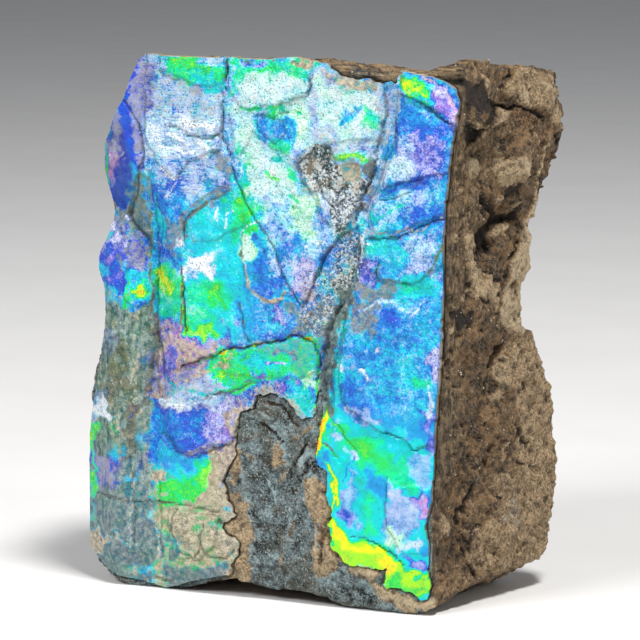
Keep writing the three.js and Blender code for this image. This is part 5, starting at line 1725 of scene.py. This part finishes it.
def painted_groove_shade(x, z):
    """How dark each place on the front is painted, as shade in the grooves and along the edges of flakes."""
    crack = np.zeros(len(x))
    u, v = flake_places(x, z)
    for width, depth, line in GROOVES:
        index, away = measured_near(line_distance, u, v, line, width)
        crack[index] = np.maximum(crack[index], GROOVE_SHADE * depth * ramp(away, 0.45 * width, 0.12))
    for rise, corners in FLAKES:
        index, inside = measured_near(inside_distance, u, v, corners, 0.4)
        edge = STEP_SHADE * abs(rise) * ramp(np.abs(inside), 0.22, 0.05)
        crack[index] = np.maximum(crack[index], edge)
    return np.clip(crack, 0, 1)


def crushed_places(u, v):
    """How much each place on the front is crushed."""
    crushed = np.zeros(len(u))
    for amount, corners in CRUSHED:
        index, inside = measured_near(inside_distance, u, v, corners, 1.0)
        crushed[index] = np.maximum(crushed[index], amount * ramp(inside, -0.6, 0.4))
    return crushed


def dress_shell(mesh, points, hidden):
    """Paints the channels that the shell's material reads. Hidden points are those behind the front."""
    x, y, z = points.T
    bend = np.where(hidden, np.interp(x, *RIM_BEND), y - FACE_Y)
    u, v = ragged(x + SIGHT_SHEAR[0] * bend, z + SIGHT_SHEAR[1] * bend, 0.42, 30)
    channels = np.outer(GROUND, np.ones(len(x)))
    paint_shell(channels, u, v)
    u, v = flake_places(x, z)
    bare_foot = -inside_distance(u, v, BARE_PATCHES[0]) + 0.5 * rubble(on_plane(x, z), 1.6, 3, 60)
    margin = ramp(bare_foot, 1.5, 0.1) * ramp(x, 6.0, 4.0)
    channels[CRUST] = np.maximum(channels[CRUST], 0.62 * margin)
    channels[MILK] = np.maximum(channels[MILK], 0.5 * margin)
    clear = [amount * patch_weight(x, z, across, up) for amount, across, up in CLEAR_PATCHES]
    put_channels(mesh, {
        "film": channels[FILM],
        "milk": channels[MILK],
        "slaty": channels[SLATY],
        "crust": channels[CRUST],
        "brushed": patch_weight(x, z, *BRUSHED_PATCH) + 0.1,
        "combed": patch_weight(x, z, *COMBED_PATCH),
        "grainy": 1 - np.max(clear, axis=0),
        "crushed": crushed_places(u, v),
        # painted shade on the upper left facet, which bends back from the light
        "facet_shade": 0.42 * ramp(past_facet_edge(x, z), 0, 1) * ramp(z, 52, 57),
        # crack holds painted shade in the grooves and along the flakes' edges
        "crack": painted_groove_shade(x, z) * ~hidden,
        "layer": hidden,
    })
    mesh.shade_smooth()
    mesh.set_sharp_from_angle(angle=CREASE)


# ---- Settings ----------------------------------------------------------------------------------------


class StoneSettings(bpy.types.PropertyGroup):
    """The ironstone block."""

    cell: bpy.props.FloatProperty(
        name="Cell", description="Spacing of the block's points", default=0.00062, min=0.0003, unit="LENGTH"
    )
    facet_depth: bpy.props.FloatProperty(
        name="Facet depth", description="Depth of the broken facets", default=0.0008, min=0, unit="LENGTH"
    )
    brown: bpy.props.FloatVectorProperty(
        name="Brown", description="The lighter brown", default=linear(176, 138, 94), size=4, subtype="COLOR"
    )
    umber: bpy.props.FloatVectorProperty(
        name="Umber", description="The darker brown", default=linear(36, 27, 18), size=4, subtype="COLOR"
    )


class GrainSettings(bpy.types.PropertyGroup):
    """The grains that lie loose on the stone."""

    per_square_metre: bpy.props.FloatProperty(
        name="Density", description="Grains on a square metre of stone", default=90000, min=0
    )
    smallest: bpy.props.FloatProperty(
        name="Smallest", description="Radius of the smallest grain", default=0.00008, unit="LENGTH"
    )
    largest: bpy.props.FloatProperty(
        name="Largest", description="Radius of the largest grain", default=0.00018, unit="LENGTH"
    )
    seed: bpy.props.IntProperty(name="Seed", description="Which scatter of grains is made", default=7)


class ShellSettings(bpy.types.PropertyGroup):
    """The iridescent shell."""

    cell: bpy.props.FloatProperty(
        name="Cell", description="Spacing of the shell's points", default=0.000245, min=0.0002, unit="LENGTH"
    )
    crumple: bpy.props.FloatProperty(
        name="Crumple", description="How uneven the shell's face is", default=0.0001, min=0, unit="LENGTH"
    )
    drift: bpy.props.FloatProperty(
        name="Drift", description="How much the colours wander", default=0.5, min=0, max=1
    )
    gloss: bpy.props.FloatProperty(
        name="Gloss", description="Weight of the clear polish", default=0.18, min=0, max=1, subtype="FACTOR"
    )


class StageSettings(bpy.types.PropertyGroup):
    """The floor, the lights and the camera."""

    floor_colour: bpy.props.FloatVectorProperty(
        name="Floor",
        description="Colour of the floor",
        default=(0.72, 0.72, 0.72, 1.0),
        size=4,
        subtype="COLOR",
    )
    azimuth: bpy.props.FloatProperty(
        name="Azimuth",
        description="Where the camera stands, round from the front",
        default=math.radians(25),
        subtype="ANGLE",
    )
    elevation: bpy.props.FloatProperty(
        name="Elevation",
        description="How far the camera looks down",
        default=math.radians(8.5),
        subtype="ANGLE",
    )
    distance: bpy.props.FloatProperty(
        name="Distance", description="From the camera to its aim", default=0.48, unit="LENGTH"
    )
    field: bpy.props.FloatProperty(
        name="Field", description="Width of the view at the aim", default=0.0922, unit="LENGTH"
    )
    aim: bpy.props.FloatVectorProperty(
        name="Aim",
        description="The point that the camera looks at",
        default=(0.0052, -0.0129, 0.0412),
        subtype="TRANSLATION",
    )


# ---- Operators ---------------------------------------------------------------------------------------


def finish_piece(piece, node):
    """Seats a piece on the frame."""
    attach(piece, "root")
    if node:
        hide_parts(node)


def shared_group(name, build):
    """A shader group by its name, made the first time that it is asked for."""
    return bpy.data.node_groups.get(name) or build()


class SPECIMEN_OT_break_stone(bpy.types.Operator):
    """Make the broken ironstone block"""

    bl_idname = "specimen.break_stone"
    bl_label = "Ironstone Block"
    bl_options = {"REGISTER", "UNDO"}

    def execute(self, context):
        settings = context.scene.specimen_stone
        mesh = stone_mesh(settings)
        mesh.materials.clear()
        mesh.materials.append(stone_material(settings, shared_group("Mineral grain", grain_group)))
        finish_piece(new_object("ironstone_block", mesh), "stone_matrix")
        return {"FINISHED"}


class SPECIMEN_OT_scatter_grains(bpy.types.Operator):
    """Scatter small mineral grains over the block"""

    bl_idname = "specimen.scatter_grains"
    bl_label = "Mineral Grains"
    bl_options = {"REGISTER", "UNDO"}

    def execute(self, context):
        stone = bpy.data.objects["ironstone_block"]
        mesh = scattered_grains(stone, context.scene.specimen_grains, grain_material())
        finish_piece(new_object("mineral_grains", mesh), None)
        return {"FINISHED"}


class SPECIMEN_OT_lay_shell(bpy.types.Operator):
    """Make the iridescent shell on the block's front"""

    bl_idname = "specimen.lay_shell"
    bl_label = "Ammolite Shell"
    bl_options = {"REGISTER", "UNDO"}

    def execute(self, context):
        settings = context.scene.specimen_shell
        mesh = shell_mesh(settings)
        mesh.materials.append(shell_material(settings, shared_group("Film colours", film_group)))
        finish_piece(new_object("shell_face", mesh), "ammolite_shell")
        return {"FINISHED"}


# ---- The stage ---------------------------------------------------------------------------------------

# The soft lights: name, place in metres, size, power in watts and colour.
LIGHTS = (
    ("key", (-0.30, -0.62, 0.62), 0.30, 5.5, (1.0, 1.0, 1.0)),
    ("fill", (0.70, -0.10, 0.35), 0.25, 0.85, (1.0, 0.96, 0.90)),
    ("top", (0.22, -0.14, 0.74), 0.13, 6.4, (1.0, 0.98, 0.95)),
)
DAYLIGHT = (0.80, 0.82, 0.86, 1.0)
DAYLIGHT_STRENGTH = 0.26
FLOOR_REACH = 3.0  # from the specimen to the floor's edges, in metres
SENSOR_WIDTH = 36.0  # in millimetres


def add_facing(name, data, place, direction):
    """Adds a light or a camera at a place in metres, turned to face a direction."""
    made = new_object(name, data)
    made.location = place
    made.rotation_mode = "QUATERNION"
    made.rotation_quaternion = direction.to_track_quat("-Z", "Y")
    return made


def add_softbox(name, place, size, power, colour, aim):
    """A square area light that shines from a place towards an aim."""
    light = bpy.data.lights.new(name, "AREA")
    light.size = size
    light.energy = power
    light.color = colour
    add_facing(name, light, place, aim - Vector(place))


def add_floor(colour):
    """A wide pale floor, a little uneven in tone."""
    mesh = bpy.data.meshes.new("floor")
    reach = FLOOR_REACH
    corners = [(-reach, -reach, 0), (reach, -reach, 0), (reach, reach, 0), (-reach, reach, 0)]
    mesh.from_pydata(corners, [], [(0, 1, 2, 3)])
    material, wires, shader, place = new_material("pale floor")
    shade = wires.window(wires.noise(place, 30.0, 3.0), 0.3, 0.7)
    darker = [c * 0.96 for c in colour[:3]] + [1.0]
    wires.feed(shader.inputs["Base Color"], wires.mix(shade, darker, list(colour)))
    shader.inputs["Roughness"].default_value = 0.6
    mesh.materials.append(material)
    return new_object("floor", mesh)


class SPECIMEN_OT_set_stage(bpy.types.Operator):
    """Lay the floor and place the lights and the camera"""

    bl_idname = "specimen.set_stage"
    bl_label = "Stage"
    bl_options = {"REGISTER", "UNDO"}

    def execute(self, context):
        settings = context.scene.specimen_stage
        add_floor(settings.floor_colour)

        world = bpy.data.worlds.new("studio")
        world.use_nodes = True
        background = world.node_tree.nodes["Background"]
        background.inputs["Color"].default_value = DAYLIGHT
        background.inputs["Strength"].default_value = DAYLIGHT_STRENGTH
        context.scene.world = world
        aim = Vector(settings.aim)
        for name, place, size, power, colour in LIGHTS:
            add_softbox(name, place, size, power, colour, aim)
        context.scene.view_settings.view_transform = "Standard"

        flat, rise = math.cos(settings.elevation), math.sin(settings.elevation)
        back = Vector((math.sin(settings.azimuth) * flat, -math.cos(settings.azimuth) * flat, rise))
        camera_data = bpy.data.cameras.new("camera")
        camera_data.sensor_width = SENSOR_WIDTH
        camera_data.lens = SENSOR_WIDTH * settings.distance / settings.field
        camera_data.clip_start = 0.01
        context.scene.camera = add_facing("camera", camera_data, aim + back * settings.distance, -back)
        return {"FINISHED"}


# ---- Panel and registering ---------------------------------------------------------------------------

# Each piece's settings, by their name on the scene, and its operator.
STEPS = (
    ("specimen_stone", StoneSettings, SPECIMEN_OT_break_stone),
    ("specimen_grains", GrainSettings, SPECIMEN_OT_scatter_grains),
    ("specimen_shell", ShellSettings, SPECIMEN_OT_lay_shell),
    ("specimen_stage", StageSettings, SPECIMEN_OT_set_stage),
)


class SPECIMEN_PT_panel(bpy.types.Panel):
    """The specimen's pieces and sizes."""

    bl_idname = "SPECIMEN_PT_panel"
    bl_label = "Ammolite Specimen"
    bl_space_type = "VIEW_3D"
    bl_region_type = "UI"
    bl_category = "Specimen"

    def draw(self, context):
        for name, settings, operator in STEPS:
            box = self.layout.box()
            for field in settings.__annotations__:
                box.prop(getattr(context.scene, name), field)
            box.operator(operator.bl_idname)


def register():
    for name, settings, operator in STEPS:
        bpy.utils.register_class(settings)
        bpy.utils.register_class(operator)
        setattr(bpy.types.Scene, name, bpy.props.PointerProperty(type=settings))
    bpy.utils.register_class(SPECIMEN_PT_panel)


def unregister():
    bpy.utils.unregister_class(SPECIMEN_PT_panel)
    for name, settings, operator in reversed(STEPS):
        delattr(bpy.types.Scene, name)
        bpy.utils.unregister_class(operator)
        bpy.utils.unregister_class(settings)


def main():
    register()
    bpy.ops.specimen.break_stone()
    bpy.ops.specimen.scatter_grains()
    bpy.ops.specimen.lay_shell()
    bpy.ops.specimen.set_stage()


if __name__ == "__main__":
    main()
